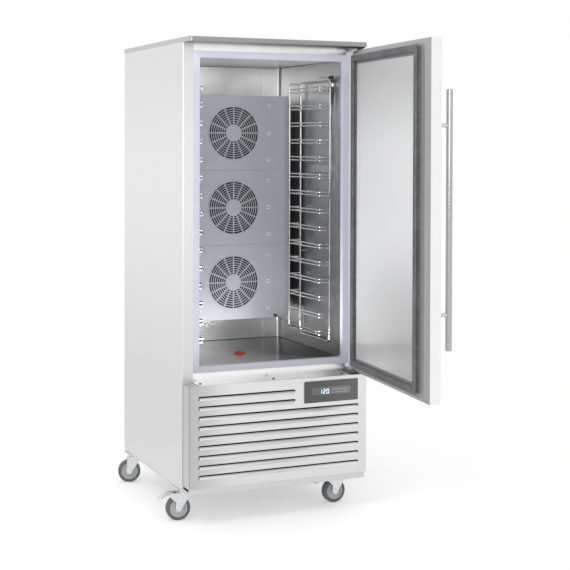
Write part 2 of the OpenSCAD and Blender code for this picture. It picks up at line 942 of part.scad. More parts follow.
// Finned heat exchanger standing on z = 0, with bends of tube at both ends
module finned_block(w, d, h, end_t, groove, gap, pitch, rows, tube_d, tube_span) {
    core = w - 2 * end_t;
    fins = floor((core - 2 * pitch) / pitch);
    difference() {
        block([-core / 2, 0, 0], [core / 2, d, h]);
        for (i = [0:fins - 1]) translate([(i - (fins - 1) / 2) * pitch - gap / 2, 0, 0]) {
            block([0, -overrun, -overrun], [gap, groove, h + overrun]);
            block([0, d - groove, -overrun], [gap, d + overrun, h + overrun]);
        }
    }
    both_sides() {
        block([w / 2 - end_t, 0, 0], [w / 2, d, h]);
        for (j = [0:rows - 1]) translate([w / 2 - tube_d / 2, d / 2, (j + 0.5) * h / rows]) {
            rotate([0, 0, -90]) rotate_extrude(angle = 180) translate([tube_span / 2, 0]) circle(d = tube_d);
        }
    }
}

module evaporator_coil() {
    color("#8d9094") translate([0, coil_y, coil_z0])
        finned_block(coil_w, coil_d, coil_z1 - coil_z0, coil_end_t, coil_groove, coil_fin_gap,
            coil_fin_pitch, bend_rows, bend_d, bend_w);
}

module fan_motors() {
    color(black) for (k = [0:fan_count - 1]) translate([0, 0, fan_centre_z(k)]) {
        translate([0, strip_y + rail_t, 0]) rotate([-90, 0, 0]) rounded_can(motor_d, motor_l, motor_edge);
        turned_y(rotor_y + rail_t, strip_y + rail_t + motor_edge, shaft_d);
    }
}

// Axial rotor along Y with tilted, bowed blades, its hub from y = 0
module rotor(d, hub_d, hub_l, chord) {
    difference() {
        union() {
            rotate([-90, 0, 0]) rounded_can(hub_d, hub_l, blade_t);
            intersection() {
                for (a = [0:360 / rotor_blades:359]) rotate([0, a, 0]) blade(d, hub_l, chord);
                turned_y(0, hub_l, d);
            }
        }
        turned_y(-overrun, hub_l + overrun, shaft_d + 2 * shaft_gap);
    }
}

module blade(d, hub_l, chord) {
    translate([0, hub_l / 2, 0]) rotate([0, 0, blade_tilt]) translate([0, -blade_bow, shaft_d])
        linear_extrude(d / 2) intersection() {
            difference() {
                circle(blade_bow + blade_t / 2);
                circle(blade_bow - blade_t / 2);
            }
            translate([-chord / 2, 0]) square([chord, 2 * blade_bow]);
        }
}

module fan_rotor(k) {
    color("#5a5d62") translate([0, rotor_y, fan_centre_z(k)])
        rotor(fan_d, rotor_hub_d, rotor_hub_l, blade_chord);
}

// Wire racks
function level_z(k) = rack_top_level - k * rack_pitch;

// Round corner of a rod in the XY plane, from the +X axis to the +Y axis about its centre
module rod_corner(r, d) {
    rotate_extrude(angle = 90) translate([r, 0]) circle(d = d);
}

module runner() {
    x0 = rack_in_x;
    b = runner_bend;
    for (y = [rack_y0, rack_y1])
        translate([x0 + b, y, 0]) rotate([0, 90, 0]) cylinder(h = rack_x - x0 - b, d = runner_d);
    translate([x0, rack_y0 + b, 0]) rotate([-90, 0, 0]) cylinder(h = rack_l - 2 * b, d = runner_d);
    translate([x0 + b, rack_y0 + b, 0]) rotate(180) rod_corner(b, runner_d);
    translate([x0 + b, rack_y1 - b, 0]) rotate(90) rod_corner(b, runner_d);
}

// Closed rounded loop of rod in the plane across its first axis
module rod_loop(a, b, r, d) {
    for (x = [0, a]) translate([x, r, 0]) rotate([-90, 0, 0]) cylinder(h = b - 2 * r, d = d);
    for (y = [0, b]) translate([r, y, 0]) rotate([0, 90, 0]) cylinder(h = a - 2 * r, d = d);
    translate([r, r, 0]) rotate(180) rod_corner(r, d);
    translate([a - r, r, 0]) rotate(270) rod_corner(r, d);
    translate([a - r, b - r, 0]) rod_corner(r, d);
    translate([r, b - r, 0]) rotate(90) rod_corner(r, d);
}

module rack_right() {
    color(polished) {
        translate([rack_x, rack_y0, rack_z0]) rotate([90, 0, 90])
            rod_loop(rack_l, rack_z1 - rack_z0, post_bend, post_d);
        translate([rack_in_x, stop_y, stop_bottom]) rotate([90, 0, 0])
            rod_loop(rack_x - rack_in_x, stop_top - stop_bottom, post_bend, post_d);
        for (k = [0:rack_levels - 1], s = [-0.5, 0.5])
            translate([0, 0, level_z(k) + s * runner_gap]) runner();
        for (k = [0:rack_levels - 1], s = spacer_shares)
            translate([rack_in_x, rack_y0 + s * rack_l, level_z(k) - runner_gap / 2])
                cylinder(h = runner_gap, d = spacer_d);
    }
}

module rack_left() {
    mirror([1, 0, 0]) rack_right();
}

module rack_rails() {
    t0 = rack_x + post_d / 2 + seat_gap;
    color(polished) both_sides() {
        translate([t0, rack_y0, hanger_z]) rotate([90, 0, 90]) linear_extrude(cavity_half - t0) {
            square([hanger_l - hanger_h / 2, hanger_h]);
            translate([hanger_l - hanger_h / 2, hanger_h / 2]) circle(d = hanger_h);
        }
        translate([t0, rack_y1 - hook_d, hook_z]) rotate([0, 90, 0])
            cylinder(h = cavity_half - t0, d = hook_d);
    }
}

// Food probe
module probe_clip() {
    color(zinc) translate([0, 0, clip_z]) difference() {
        union() {
            translate([rack_x, rack_y0]) cylinder(h = clip_h, d = post_d + 2 * (clip_wall + shaft_gap));
            translate([probe_x, probe_y]) cylinder(h = clip_h, d = grip_d + 2 * (clip_wall + shaft_gap));
        }
        translate([rack_x, rack_y0, -overrun])
            cylinder(h = clip_h + 2 * overrun, d = post_d + 2 * shaft_gap);
        translate([probe_x, probe_y, -overrun])
            cylinder(h = clip_h + 2 * overrun, d = grip_d + 2 * shaft_gap);
    }
}

module probe_handle() {
    color(black) translate([probe_x, probe_y, probe_z]) {
        translate([0, 0, -grip_straight]) cylinder(h = grip_straight, d = grip_d);
        translate([0, 0, -grip_l]) cylinder(h = grip_l - grip_straight, d1 = grip_end_d, d2 = grip_d);
        sphere(d = grip_d);
        translate([-elbow_l, 0, 0]) rotate([0, 90, 0]) cylinder(h = elbow_l, d1 = grip_nose_d, d2 = grip_d);
    }
}

module probe_needle() {
    color(zinc) translate([probe_x - elbow_l, probe_y, probe_z]) rotate([0, -90, 0]) {
        cylinder(h = needle_l - needle_point, d = needle_d);
        translate([0, 0, needle_l - needle_point]) cylinder(h = needle_point, d1 = needle_d, d2 = 0);
    }
}

// Tube swept along the cable's points: one ring of corners square to the run at each point
cable_sides = 8;
cable_count = len(cable_points);

function run_of(i) = cable_points[min(i + 1, cable_count - 1)] - cable_points[max(i - 1, 0)];
function unit(v) = v / norm(v);
function ring_at(i, t, side) = [for (j = [0:cable_sides - 1]) let (a = 360 * j / cable_sides)
    cable_points[i] + cable_d / 2 * (cos(a) * side + sin(a) * cross(t, side))];
function side_after(i) = i == 0 ? unit(cross(run_of(0), [0, 1, 0]))
    : let (t = unit(run_of(i)), s = side_after(i - 1)) unit(s - (s * t) * t);

module probe_cable() {
    rings = [for (i = [0:cable_count - 1]) each ring_at(i, unit(run_of(i)), side_after(i))];
    n = cable_sides;
    walls = [for (i = [0:cable_count - 2], j = [0:n - 1]) let (k = (j + 1) % n)
        each [[i * n + j, i * n + n + k, i * n + k], [i * n + j, i * n + n + j, i * n + n + k]]];
    caps = [[for (j = [0:n - 1]) j], [for (j = [0:n - 1]) cable_count * n - 1 - j]];
    color("#b9b4aa") polyhedron(rings, concat(walls, caps));
}

module gland(bore, d, l) {
    difference() {
        union() {
            cylinder(h = l / 2, d = d, $fn = 6);
            cylinder(h = l, d = d * gland_nose_share);
        }
        translate([0, 0, -overrun]) cylinder(h = l + 2 * overrun, d = bore);
    }
}

module cable_glands() {
    color(black) {
        translate([gland_x, fan_wall_y, gland_z]) rotate([90, 0, 0]) difference() {
            cylinder(h = gland_l, d = gland_d);
            translate([0, 0, gland_l]) rotate_extrude() translate([gland_d / 2, 0]) circle(gland_l / 5);
        }
        translate([mains_x, cabinet_d, mains_z]) rotate([-90, 0, 0]) gland(mains_bore, mains_d, mains_l);
    }
}

// Refrigeration unit
module compressor() {
    color(black) translate([comp_x, comp_y, tray_z]) {
        for (x = [-1, 1], y = [-1, 1]) translate([x * comp_foot_x, y * comp_foot_x, 0])
            cylinder(h = comp_foot_h, d = comp_foot_d);
        translate([0, 0, comp_foot_h]) upright(0, comp_plate_t)
            rounded_plate(2 * comp_foot_x + comp_foot_d, 2 * comp_foot_x + comp_foot_d, comp_foot_d / 2);
        translate([0, 0, comp_foot_h + comp_plate_t]) {
            rounded_can(comp_d, comp_h, comp_round);
            translate([0, 0, comp_h / 2]) rotate_extrude() translate([comp_d / 2, 0]) circle(d = comp_seam_d);
            translate([-comp_d / 2 - comp_foot_d / 2, -comp_foot_d, comp_h / 3])
                cube([comp_foot_d, 2 * comp_foot_d, comp_h / 3]);
        }
    }
}

module condenser_coil() {
    color("#6c6e72") translate([cond_fan_x, cond_y0, cond_z0])
        finned_block(cond_w, cond_d, cond_h, cond_end_t, cond_groove, cond_fin_gap, cond_fin_pitch,
            bend_rows - 2, bend_d, cond_d / 2);
    color("#6c6e72") for (x = [cond_x0, cond_x0 + cond_w - cond_end_t])
        block([x, cond_y0, tray_z], [x + cond_end_t, cond_y0 + cond_d, cond_z0]);
}

module condenser_shroud() {
    y0 = cond_y0 + cond_d;
    color(zinc) translate([cond_fan_x, 0, cond_fan_z]) {
        face(y0, y0 + shroud_d - shroud_t) frame_outline(cond_w, cond_h, fold_r, shroud_t);
        face(y0 + shroud_d - shroud_t, y0 + shroud_d) difference() {
            rounded_plate(cond_w, cond_h, fold_r);
            circle(d = shroud_hole_d);
        }
    }
}

module condenser_motor() {
    color(black) translate([cond_fan_x, 0, cond_fan_z]) {
        translate([0, cond_motor_y, 0]) rotate([-90, 0, 0]) rounded_can(cond_motor_d, cond_motor_l, motor_edge);
        turned_y(cond_fan_y + rail_t, cond_motor_y + motor_edge, shaft_d);
    }
    color(zinc) {
        block([cond_fan_x - stand_w / 2, cond_motor_y + motor_edge, tray_z],
            [cond_fan_x + stand_w / 2, cond_motor_y + cond_motor_l - motor_edge, tray_z + stand_t]);
        block([cond_fan_x - stand_w / 2, cond_motor_y + motor_edge, tray_z],
            [cond_fan_x + stand_w / 2, cond_motor_y + motor_edge + stand_t, cond_fan_z]);
    }
}

module condenser_fan() {
    color("#5a5d62") translate([cond_fan_x, cond_fan_y, cond_fan_z])
        rotor(cond_fan_d, cond_hub_d, cond_hub_l, blade_chord);
}

// Brazed tube line through a list of points, with a fitting at each corner
module tube_line(points) {
    last = len(points) - 1;
    for (i = [0:last - 1]) rod(points[i], points[i + 1], pipe_d);
    for (i = [1:last - 1]) translate(points[i]) sphere(d = fitting_d);
}

module receiver_and_pipes() {
    comp_top = tray_z + comp_foot_h + comp_plate_t + comp_h;
    rec_top = tray_z + receiver_h;
    cond_side = cond_x0 + cond_w + fitting_d;
    cond_end = cond_x0 + cond_w + seat_gap;
    color(black) translate([receiver_x, receiver_y, tray_z]) {
        rounded_can(receiver_d, receiver_h, receiver_round);
        for (z = [receiver_h / 4, receiver_h * 3 / 4]) translate([0, 0, z])
            cylinder(h = receiver_band_h, d = receiver_d + fitting_d - pipe_d);
    }
    color(copper) {
        tube_line([[comp_x - pipe_d, comp_y - comp_d / 4, comp_top + seat_gap],
            [comp_x - pipe_d, comp_y - comp_d / 4, pipe_top],
            [cond_side, comp_y - comp_d / 4, pipe_top], [cond_side, cond_y0 + cond_d / 2, pipe_top],
            [cond_end, cond_y0 + cond_d / 2, pipe_top]]);
        tube_line([[receiver_x, receiver_y, rec_top - fitting_d],
            [receiver_x, receiver_y, rec_top + liquid_rise], [cond_side, receiver_y, rec_top + liquid_rise],
            [cond_side, receiver_y, pipe_low], [cond_side, cond_y0 + cond_d / 2, pipe_low],
            [cond_end, cond_y0 + cond_d / 2, pipe_low]]);
        tube_line([[line_x, comp_y, comp_top + seat_gap], [line_x, comp_y, pipe_top],
            [line_x, line_y, pipe_top], [line_x, line_y, line_z],
            [line_x, coil_y + coil_d + seat_gap, line_z]]);
    }
}

// Hinges
module hinge_brackets() {
    low = door_z0 - seat_gap;
    high = door_z1 + seat_gap;
    color(dark) {
        block([hinge_x - bracket_w, hinge_y - hinge_in, sill_z], [hinge_x + hinge_in, 0, sill_z + bracket_t]);
        translate([hinge_x, hinge_y, sill_z + bracket_t]) cylinder(h = low - sill_z - bracket_t, d = collar_d);
        translate([hinge_x, hinge_y, low]) cylinder(h = pin_l, d = pin_d);
        block([hinge_x - bracket_w, hinge_y - hinge_in, cap_z - bracket_t], [hinge_x + hinge_in, 0, cap_z]);
        translate([hinge_x, hinge_y, high]) cylinder(h = cap_z - bracket_t - high, d = collar_d);
        translate([hinge_x, hinge_y, high - pin_l]) cylinder(h = pin_l, d = pin_d);
    }
}

// Door, drawn closed and then swung open about the hinge axis
module swung() {
    translate([hinge_x, hinge_y, 0]) rotate(door_open) translate([-hinge_x, -hinge_y, 0]) children();
}

module door_plan() {
    depth = door_edge_d;
    w = door_w;
    translate([door_mid_x, -nose_d]) {
        translate([fold_r - w / 2, 0]) square([w - 2 * fold_r, sheet_t]);
        both_sides() {
            translate([w / 2 - sheet_t, fold_r]) square([sheet_t, depth - fold_r]);
            translate([w / 2 - fold_r, fold_r]) rotate(-90) fold_ring(fold_r, sheet_t);
        }
    }
}

module at_hinge(z) {
    translate([hinge_x, hinge_y, z]) children();
}

module door_shell() {
    color(steel) swung() difference() {
        union() {
            upright(door_z0, door_z1) door_plan();
            for (z = [door_z0, door_z1 - sheet_t])
                block([door_x0 + fold_r, -nose_d, z], [door_x1 - fold_r, door_edge_d - nose_d, z + sheet_t]);
            for (z = [door_z0, door_z1 - bush_l]) at_hinge(z) cylinder(h = bush_l, d = bush_d);
        }
        for (z = [door_z0 - overrun, door_z1 - bush_l - overrun])
            at_hinge(z) cylinder(h = bush_l + 2 * overrun, d = pin_d + 2 * shaft_gap);
    }
}

module door_foam() {
    color(foam_colour) swung() difference() {
        union() {
            block([door_x0 + fold_r, sheet_t - nose_d, door_z0 + sheet_t],
                [door_x1 - fold_r, door_edge_d - nose_d, door_z1 - sheet_t]);
            door_tray(fold_r, door_skin);
        }
        for (z = [door_z0 - overrun, door_z1 - bush_l - seat_gap])
            at_hinge(z) cylinder(h = bush_l + overrun + seat_gap, d = bush_d + 2 * seat_gap);
    }
}

// Box in the door's frame, shrunk by an edge all round
module door_layer(edge, y0, y1) {
    block([door_x0 + edge, y0, door_z0 + edge], [door_x1 - edge, y1, door_z1 - edge]);
}

module raised_plate(edge, y0, y1) {
    block([edge - gasket_half + gasket_w, y0, gasket_z0 + gasket_w + edge],
        [gasket_half - gasket_w - edge, y1, gasket_z1 - gasket_w - edge]);
}

// Bevelled body of the door's inner side, shrunk at its edges and under its face
module door_tray(edge, skin) {
    edge_y = door_edge_d - nose_d;
    hull() {
        door_layer(edge, edge_y, edge_y + overrun);
        door_layer(door_bevel + edge / 2, edge_y, door_in_y - skin);
    }
}

module door_liner() {
    color(polished) swung() {
        difference() {
            door_tray(0, 0);
            door_tray(fold_r, door_skin);
        }
        hull() {
            raised_plate(plate_in, door_in_y, door_in_y + door_skin);
            raised_plate(plate_in + plate_slope, door_in_y, door_in_y + plate_lift);
        }
    }
}

module gasket_ring(inset, w) {
    translate([0, (gasket_z0 + gasket_z1) / 2])
        frame_outline(2 * (gasket_half - inset), gasket_z1 - gasket_z0 - 2 * inset, gasket_corner, w);
}

module door_gasket() {
    base_w = gasket_w * gasket_base_share;
    waist_w = gasket_w * gasket_waist_share;
    y = [for (s = gasket_depth_shares) door_in_y + s * gasket_d];
    color(rubber) swung() {
        face(door_in_y, y[0]) gasket_ring((gasket_w - base_w) / 2, base_w);
        face(y[0], y[1]) gasket_ring((gasket_w - waist_w) / 2, waist_w);
        face(y[1], y[2]) gasket_ring(0, gasket_w);
    }
}

module handle_bar() {
    color(polished) swung() translate([handle_x, -nose_d - handle_out, handle_mid_z - handle_l / 2])
        rounded_can(handle_bar_d, handle_l, handle_end);
}

module handle_posts() {
    color(zinc) swung() for (s = [-1, 1]) translate([handle_x, 0, handle_mid_z + s * handle_post_z])
        difference() {
            union() {
                turned_y(-nose_d - handle_out, -nose_d, handle_post_d);
                turned_y(-nose_d - handle_foot_h, -nose_d, handle_foot_d);
            }
            translate([0, -nose_d - handle_out, -handle_foot_d])
                cylinder(h = 2 * handle_foot_d, d = handle_bar_d + 2 * shaft_gap);
        }
}

// Castors, each drawn with its swivel axis on Z and its wheel trailing along +X, then turned towards -X
turns = [turn_front_left, turn_front_right, turn_rear_left, turn_rear_right];
places = [[-castor_x, castor_y0], [castor_x, castor_y0], [-castor_x, castor_y1], [castor_x, castor_y1]];

module castor_at(i) {
    translate([places[i].x, places[i].y, 0]) rotate(180 - turns[i]) children();
}

module castor_plates() {
    color(zinc) for (p = places) translate([p.x, p.y, 0]) {
        translate([0, 0, plate_top - plate_t]) upright(0, plate_t) rounded_plate(plate_x, plate_y, fold_r);
        translate([0, 0, fork_top + seat_gap]) rounded_can(race_d, race_h + plate_t / 2, race_h / 3);
        translate([0, 0, crown_z - seat_gap]) cylinder(h = plate_top - crown_z - plate_t, d = kingpin_d);
        translate([0, 0, crown_z - seat_gap - pin_head_h]) cylinder(h = pin_head_h, d = pin_head_d);
        for (x = [-bolt_x, bolt_x], y = [-bolt_y, bolt_y])
            translate([x, y, plate_top - plate_t - plate_bolt_h])
                cylinder(h = plate_bolt_h + plate_t / 2, d = plate_bolt_d, $fn = 6);
    }
}

module fork_leg(braked) {
    r = leg_foot_r;
    z = wheel_d / 2;
    translate([trail, z]) circle(r);
    polygon([[trail - r, z], [trail + r, z], [crown_back, crown_z + crown_t],
        [-crown_front, crown_z + crown_t]]);
    if (braked) {
        translate([pivot_u, pivot_z]) circle(ear_r);
        polygon([[trail + r * ear_top_share, z + 2 * r],
            [pivot_u + ear_r * ear_side_share, pivot_z - ear_r * ear_side_share],
            [pivot_u, pivot_z + ear_r * ear_top_share], [crown_front, crown_z + crown_t]]);
    }
}

module castor_fork(i) {
    braked = i < 2;
    color(zinc) castor_at(i) difference() {
        union() {
            for (y = [-leg_in - leg_t, leg_in]) face(y, y + leg_t) fork_leg(braked);
            translate([0, 0, crown_z]) upright(0, crown_t)
                translate([-crown_front, -leg_in - leg_t / 2])
                    square([crown_front + crown_back, 2 * leg_in + leg_t]);
            translate([0, 0, crown_z]) cylinder(h = fork_top - crown_z, d = fork_race_d);
            translate([trail, 0, wheel_d / 2]) {
                turned_y(-leg_in - leg_t - axle_nut_h, leg_in + leg_t + axle_nut_h, axle_d);
                turned_y(leg_in + leg_t / 2, leg_in + leg_t + axle_nut_h, axle_nut_d);
                turned_y(-leg_in - leg_t - axle_nut_h, -leg_in - leg_t / 2, axle_nut_d);
            }
            if (braked) translate([pivot_u, 0, pivot_z]) turned_y(-leg_in - leg_t, leg_in + leg_t, pivot_d);
        }
        translate([0, 0, crown_z - overrun])
            cylinder(h = fork_race_h + crown_t + 2 * overrun, d = kingpin_d + 2 * shaft_gap);
    }
}

module wheel_at(i) {
    castor_at(i) translate([trail, 0, wheel_d / 2]) rotate([90, 0, 0]) children();
}

module castor_tyre(i) {
    color(rubber) wheel_at(i) rotate_extrude() difference() {
        intersection() {
            rounded_plate(wheel_d, wheel_w, tyre_round);
            translate([0, -wheel_w / 2]) square([wheel_d, wheel_w]);
        }
        translate([-overrun, -wheel_w]) square([hub_r + shaft_gap + overrun, 2 * wheel_w]);
    }
}

module castor_hub(i) {
    w = wheel_w / 2 - overrun;
    bore = axle_d / 2 + shaft_gap;
    color("#b4b4b6") wheel_at(i) rotate_extrude() polygon([
        [bore, -w - overrun], [hub_boss_r, -w - overrun], [hub_boss_r, hub_dish - w],
        [hub_r - hub_rim, hub_dish - w], [hub_r - hub_rim, -w], [hub_r, -w], [hub_r, w],
        [hub_r - hub_rim, w], [hub_r - hub_rim, w - hub_dish], [hub_boss_r, w - hub_dish],
        [hub_boss_r, w + overrun], [bore, w + overrun]]);
}

// Pressed two-layer blade that arches over the tyre, drawn in the castor's own plane
module pedal_blade(r, x1) {
    translate([pedal_front, crown_z + pedal_rise - pedal_r]) intersection() {
        difference() {
            circle(r);
            circle(r - pedal_t);
        }
        square([x1 - pedal_front, pedal_r]);
    }
}

module brake_pedal(i) {
    color(zinc) castor_at(i) difference() {
        union() {
            face(-pedal_w / 2, pedal_w / 2) pedal_blade(pedal_r, pedal_reach);
            face(-pedal_w / 2 + pedal_t, pedal_w / 2 - pedal_t)
                pedal_blade(pedal_r - pedal_layer, pedal_reach - pedal_lip);
            translate([pivot_u, 0, pivot_z]) turned_y(-pedal_w / 2, pedal_w / 2, 2 * shoe_r);
            face(-pedal_w / 2, pedal_w / 2) translate([pivot_u - shoe_r, pivot_z])
                square([2 * shoe_r, crown_z + pedal_rise - pedal_t - pivot_z]);
        }
        translate([pivot_u, 0, pivot_z]) turned_y(-pedal_w, pedal_w, pivot_d + 2 * shaft_gap);
    }
}

placed() side_panel_left();
placed() side_panel_right();
placed() back_panel();
placed() roof_cap();
placed() cabinet_foam();
placed() inner_liner();
placed() floor_pan();
placed() front_frame();
placed() breaker_frame();
placed() drain_plug();
placed() drain_pipe();
placed() base_frame();
placed() louvre_panel();
placed() panel_screws();
placed() control_fascia();
placed() fan_panel(0);  // fan_panel_1
placed() fan_panel(1);  // fan_panel_2
placed() fan_panel(2);  // fan_panel_3
placed() evaporator_frame();
placed() evaporator_coil();
placed() fan_motors();
placed() fan_rotor(0);  // fan_rotor_1
placed() fan_rotor(1);  // fan_rotor_2
placed() fan_rotor(2);  // fan_rotor_3
placed() rack_left();
placed() rack_right();
placed() rack_rails();
placed() probe_clip();
placed() probe_handle();
placed() probe_needle();
placed() probe_cable();
placed() cable_glands();
placed() compressor();
placed() condenser_coil();
placed() condenser_shroud();
placed() condenser_motor();
placed() condenser_fan();
placed() receiver_and_pipes();
placed() hinge_brackets();
placed() door_shell();
placed() door_foam();
placed() door_liner();
placed() door_gasket();
placed() handle_bar();
placed() handle_posts();
placed() castor_plates();
placed() castor_fork(0);  // castor_fork_1
placed() castor_fork(1);  // castor_fork_2
placed() castor_fork(2);  // castor_fork_3
placed() castor_fork(3);  // castor_fork_4
placed() castor_tyre(0);  // castor_tyre_1
placed() castor_tyre(1);  // castor_tyre_2
placed() castor_tyre(2);  // castor_tyre_3
placed() castor_tyre(3);  // castor_tyre_4
placed() castor_hub(0);  // castor_hub_1
placed() castor_hub(1);  // castor_hub_2
placed() castor_hub(2);  // castor_hub_3
placed() castor_hub(3);  // castor_hub_4
placed() brake_pedal(0);  // brake_pedal_1
placed() brake_pedal(1);  // brake_pedal_2
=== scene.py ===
# %% [markdown]
# This notebook dresses a blast chiller that stands with its door open. Its solids arrive as a finished
# frame, one mesh for each real piece, already at the right size and place. Nothing of that frame is moved
# here. The work is to give each piece the surface that it has in a workshop, and to model what a solid
# model leaves out: the soft gasket, the probe's cable, the lit digits and the seams.

# %% Load the frame
import json
import math

import bpy
from mathutils import Matrix, Vector


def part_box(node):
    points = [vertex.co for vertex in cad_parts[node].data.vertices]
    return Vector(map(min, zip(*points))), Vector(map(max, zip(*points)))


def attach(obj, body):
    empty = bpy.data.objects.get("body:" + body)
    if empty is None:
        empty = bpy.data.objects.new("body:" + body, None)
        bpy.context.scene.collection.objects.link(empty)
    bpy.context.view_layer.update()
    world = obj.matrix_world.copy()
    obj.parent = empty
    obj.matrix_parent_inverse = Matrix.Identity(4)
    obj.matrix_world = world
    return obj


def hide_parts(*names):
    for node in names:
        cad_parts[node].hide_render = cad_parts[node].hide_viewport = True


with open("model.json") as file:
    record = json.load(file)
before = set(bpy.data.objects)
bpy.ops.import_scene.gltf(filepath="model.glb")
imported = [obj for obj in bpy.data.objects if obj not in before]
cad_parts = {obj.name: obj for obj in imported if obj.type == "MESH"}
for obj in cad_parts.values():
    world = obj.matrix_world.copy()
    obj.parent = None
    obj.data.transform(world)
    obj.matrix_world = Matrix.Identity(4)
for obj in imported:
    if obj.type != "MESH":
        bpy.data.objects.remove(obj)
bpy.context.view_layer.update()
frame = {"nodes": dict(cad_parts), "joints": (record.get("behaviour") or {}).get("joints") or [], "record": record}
nodes = frame["nodes"]
scene = bpy.context.scene

# %% [markdown]
# Sizes on a drawing of this cabinet are given in millimetres from three faces: the cabinet's middle, its
# front frame and the floor. Small helpers turn such a size into a point of the model, or into its X or Y.
# The last one serves the door, which is drawn shut and then swung about its hinge, so a seam on it can be
# given as if the door were shut.

# %% Places on the drawing
roof_low, roof_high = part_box("roof_cap")
middle_x = (roof_low.x + roof_high.x) / 2
front_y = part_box("front_frame")[0].y
MM = 0.001


def place(x, y, z):
    """A point given in millimetres from the cabinet's middle, its front frame and the floor."""
    return Vector((middle_x + x * MM, front_y + y * MM, z * MM))


def at_x(x):
    return place(x, 0, 0).x


def at_y(y):
    return place(0, y, 0).y


door_joint = next(j for j in frame["joints"] if j["name"] == "door_swing")
hinge = Vector(door_joint["pos_m"])
door_open = math.radians(-door_joint["range_deg"][0])
door_turn = Matrix.Translation(hinge) @ Matrix.Rotation(door_open, 4, "Z") @ Matrix.Translation(-hinge)


def on_door(x, y, z):
    """The same for a point of the shut door, carried to where the open door has it."""
    return door_turn @ place(x, y, z)


print("middle %.4f, front %.4f, door open %.1f degrees" % (middle_x, front_y, math.degrees(door_open)))

# %% [markdown]
# The camera comes first, because every later choice is judged through it. A long lens from over five metres
# away keeps the cabinet's uprights parallel. Its axis is almost level and the frame is shifted down
# instead, as an architect's camera does, so that the uprights don't lean.

# %% Camera
PHOTO_PX = 570
SENSOR_MM = 36
FOCAL_PX = 1331.1
SHIFT_PX = -120
CAMERA_PLACE = (-2180.1, -5040.7, 1544.6)
YAW, PITCH, ROLL = math.radians(23.9), math.radians(-0.984), math.radians(0.166)


def add_camera():
    data = bpy.data.cameras.new("studio_camera")
    data.sensor_width = SENSOR_MM
    data.lens = FOCAL_PX / PHOTO_PX * SENSOR_MM
    data.shift_y = SHIFT_PX / PHOTO_PX
    data.clip_end = 60
    forward = Vector((math.sin(YAW) * math.cos(PITCH), math.cos(YAW) * math.cos(PITCH), math.sin(PITCH)))
    level = Vector((math.cos(YAW), -math.sin(YAW), 0))
    above = level.cross(forward)
    right = math.cos(ROLL) * level + math.sin(ROLL) * above
    up = math.cos(ROLL) * above - math.sin(ROLL) * level
    camera = bpy.data.objects.new("studio_camera", data)
    turn = Matrix((right, up, -forward)).transposed()
    camera.matrix_world = Matrix.Translation(place(*CAMERA_PLACE)) @ turn.to_4x4()
    scene.collection.objects.link(camera)
    scene.camera = camera
    return camera


camera = add_camera()
print("camera: lens %.1f mm, shift %.3f" % (camera.data.lens, camera.data.shift_y))

# %% [markdown]
# A material is a small graph of nodes. One helper adds a node, sets its plain settings and fills its
# sockets, with a value or with a link from another node. That keeps each finish below down to a few
# readable lines.


# %% Node helpers
def add_node(tree, kind, sockets=None, **settings):
    """Adds a node. A socket is filled with a value, or linked where the value is another node's output."""
    node = tree.nodes.new(kind)
    for name, value in settings.items():
        setattr(node, name, value)
    for name, value in (sockets or {}).items():
        if isinstance(value, bpy.types.NodeSocket):
            tree.links.new(value, node.inputs[name])
        else:
            node.inputs[name].default_value = value
    return node


def add_math(tree, operation, a, b=0.0, clamp=False):
    return add_node(tree, "ShaderNodeMath", {0: a, 1: b}, operation=operation, use_clamp=clamp).outputs[0]


def rgba(colour):
    """A grey level or three numbers, as the four that a node takes. Another node's output stays as it is."""
    if isinstance(colour, bpy.types.NodeSocket):
        return colour
    return (colour, colour, colour, 1) if isinstance(colour, float) else (*colour, 1)


def add_mix(tree, factor, a, b):
    """Mixes two colours."""
    return add_node(tree, "ShaderNodeMix", {0: factor, 6: rgba(a), 7: rgba(b)}, data_type="RGBA").outputs[2]


def add_span(tree, value, low, high, to_low=0.0, to_high=1.0):
    """Maps a value from one span to another, and stops at the ends."""
    sockets = {"Value": value, "From Min": low, "From Max": high, "To Min": to_low, "To Max": to_high}
    return add_node(tree, "ShaderNodeMapRange", sockets, interpolation_type="SMOOTHSTEP").outputs["Result"]


def object_place(tree):
    """The place of the point being shaded, in metres of the model."""
    return add_node(tree, "ShaderNodeTexCoord").outputs["Object"]


def shut_door_place(tree):
    """The same for a point of the door, turned back to where the shut door has it."""
    back = door_turn.inverted()
    return add_node(tree, "ShaderNodeMapping", {"Vector": object_place(tree), "Location": back.translation,
                                                "Rotation": back.to_euler()}).outputs["Vector"]


def axis_of(tree, vector, axis):
    return add_node(tree, "ShaderNodeSeparateXYZ", {"Vector": vector}).outputs[axis]


# %% [markdown]
# Three effects are shared by many finishes, so each is a node group with its own inputs. Sheet metal is
# never quite flat and carries a fine grain from the rolling mill or from its polishing belt. Hands and
# cloths leave broad, faint marks that change how sharply it shines. And no pressed edge is a knife edge:
# the bevel node rounds the shading of an edge without touching the mesh.

# %% Node groups
EDGE_TURNS = (0.98, 0.8)
MARKS_SHOW = (0.16, 0.36)


def new_group(name, inputs, outputs):
    group = bpy.data.node_groups.new(name, "ShaderNodeTree")
    for socket, kind, value in inputs:
        made = group.interface.new_socket(socket, in_out="INPUT", socket_type=kind)
        made.default_value = value
    for socket, kind in outputs:
        group.interface.new_socket(socket, in_out="OUTPUT", socket_type=kind)
    return group, group.nodes.new("NodeGroupInput").outputs, group.nodes.new("NodeGroupOutput").inputs


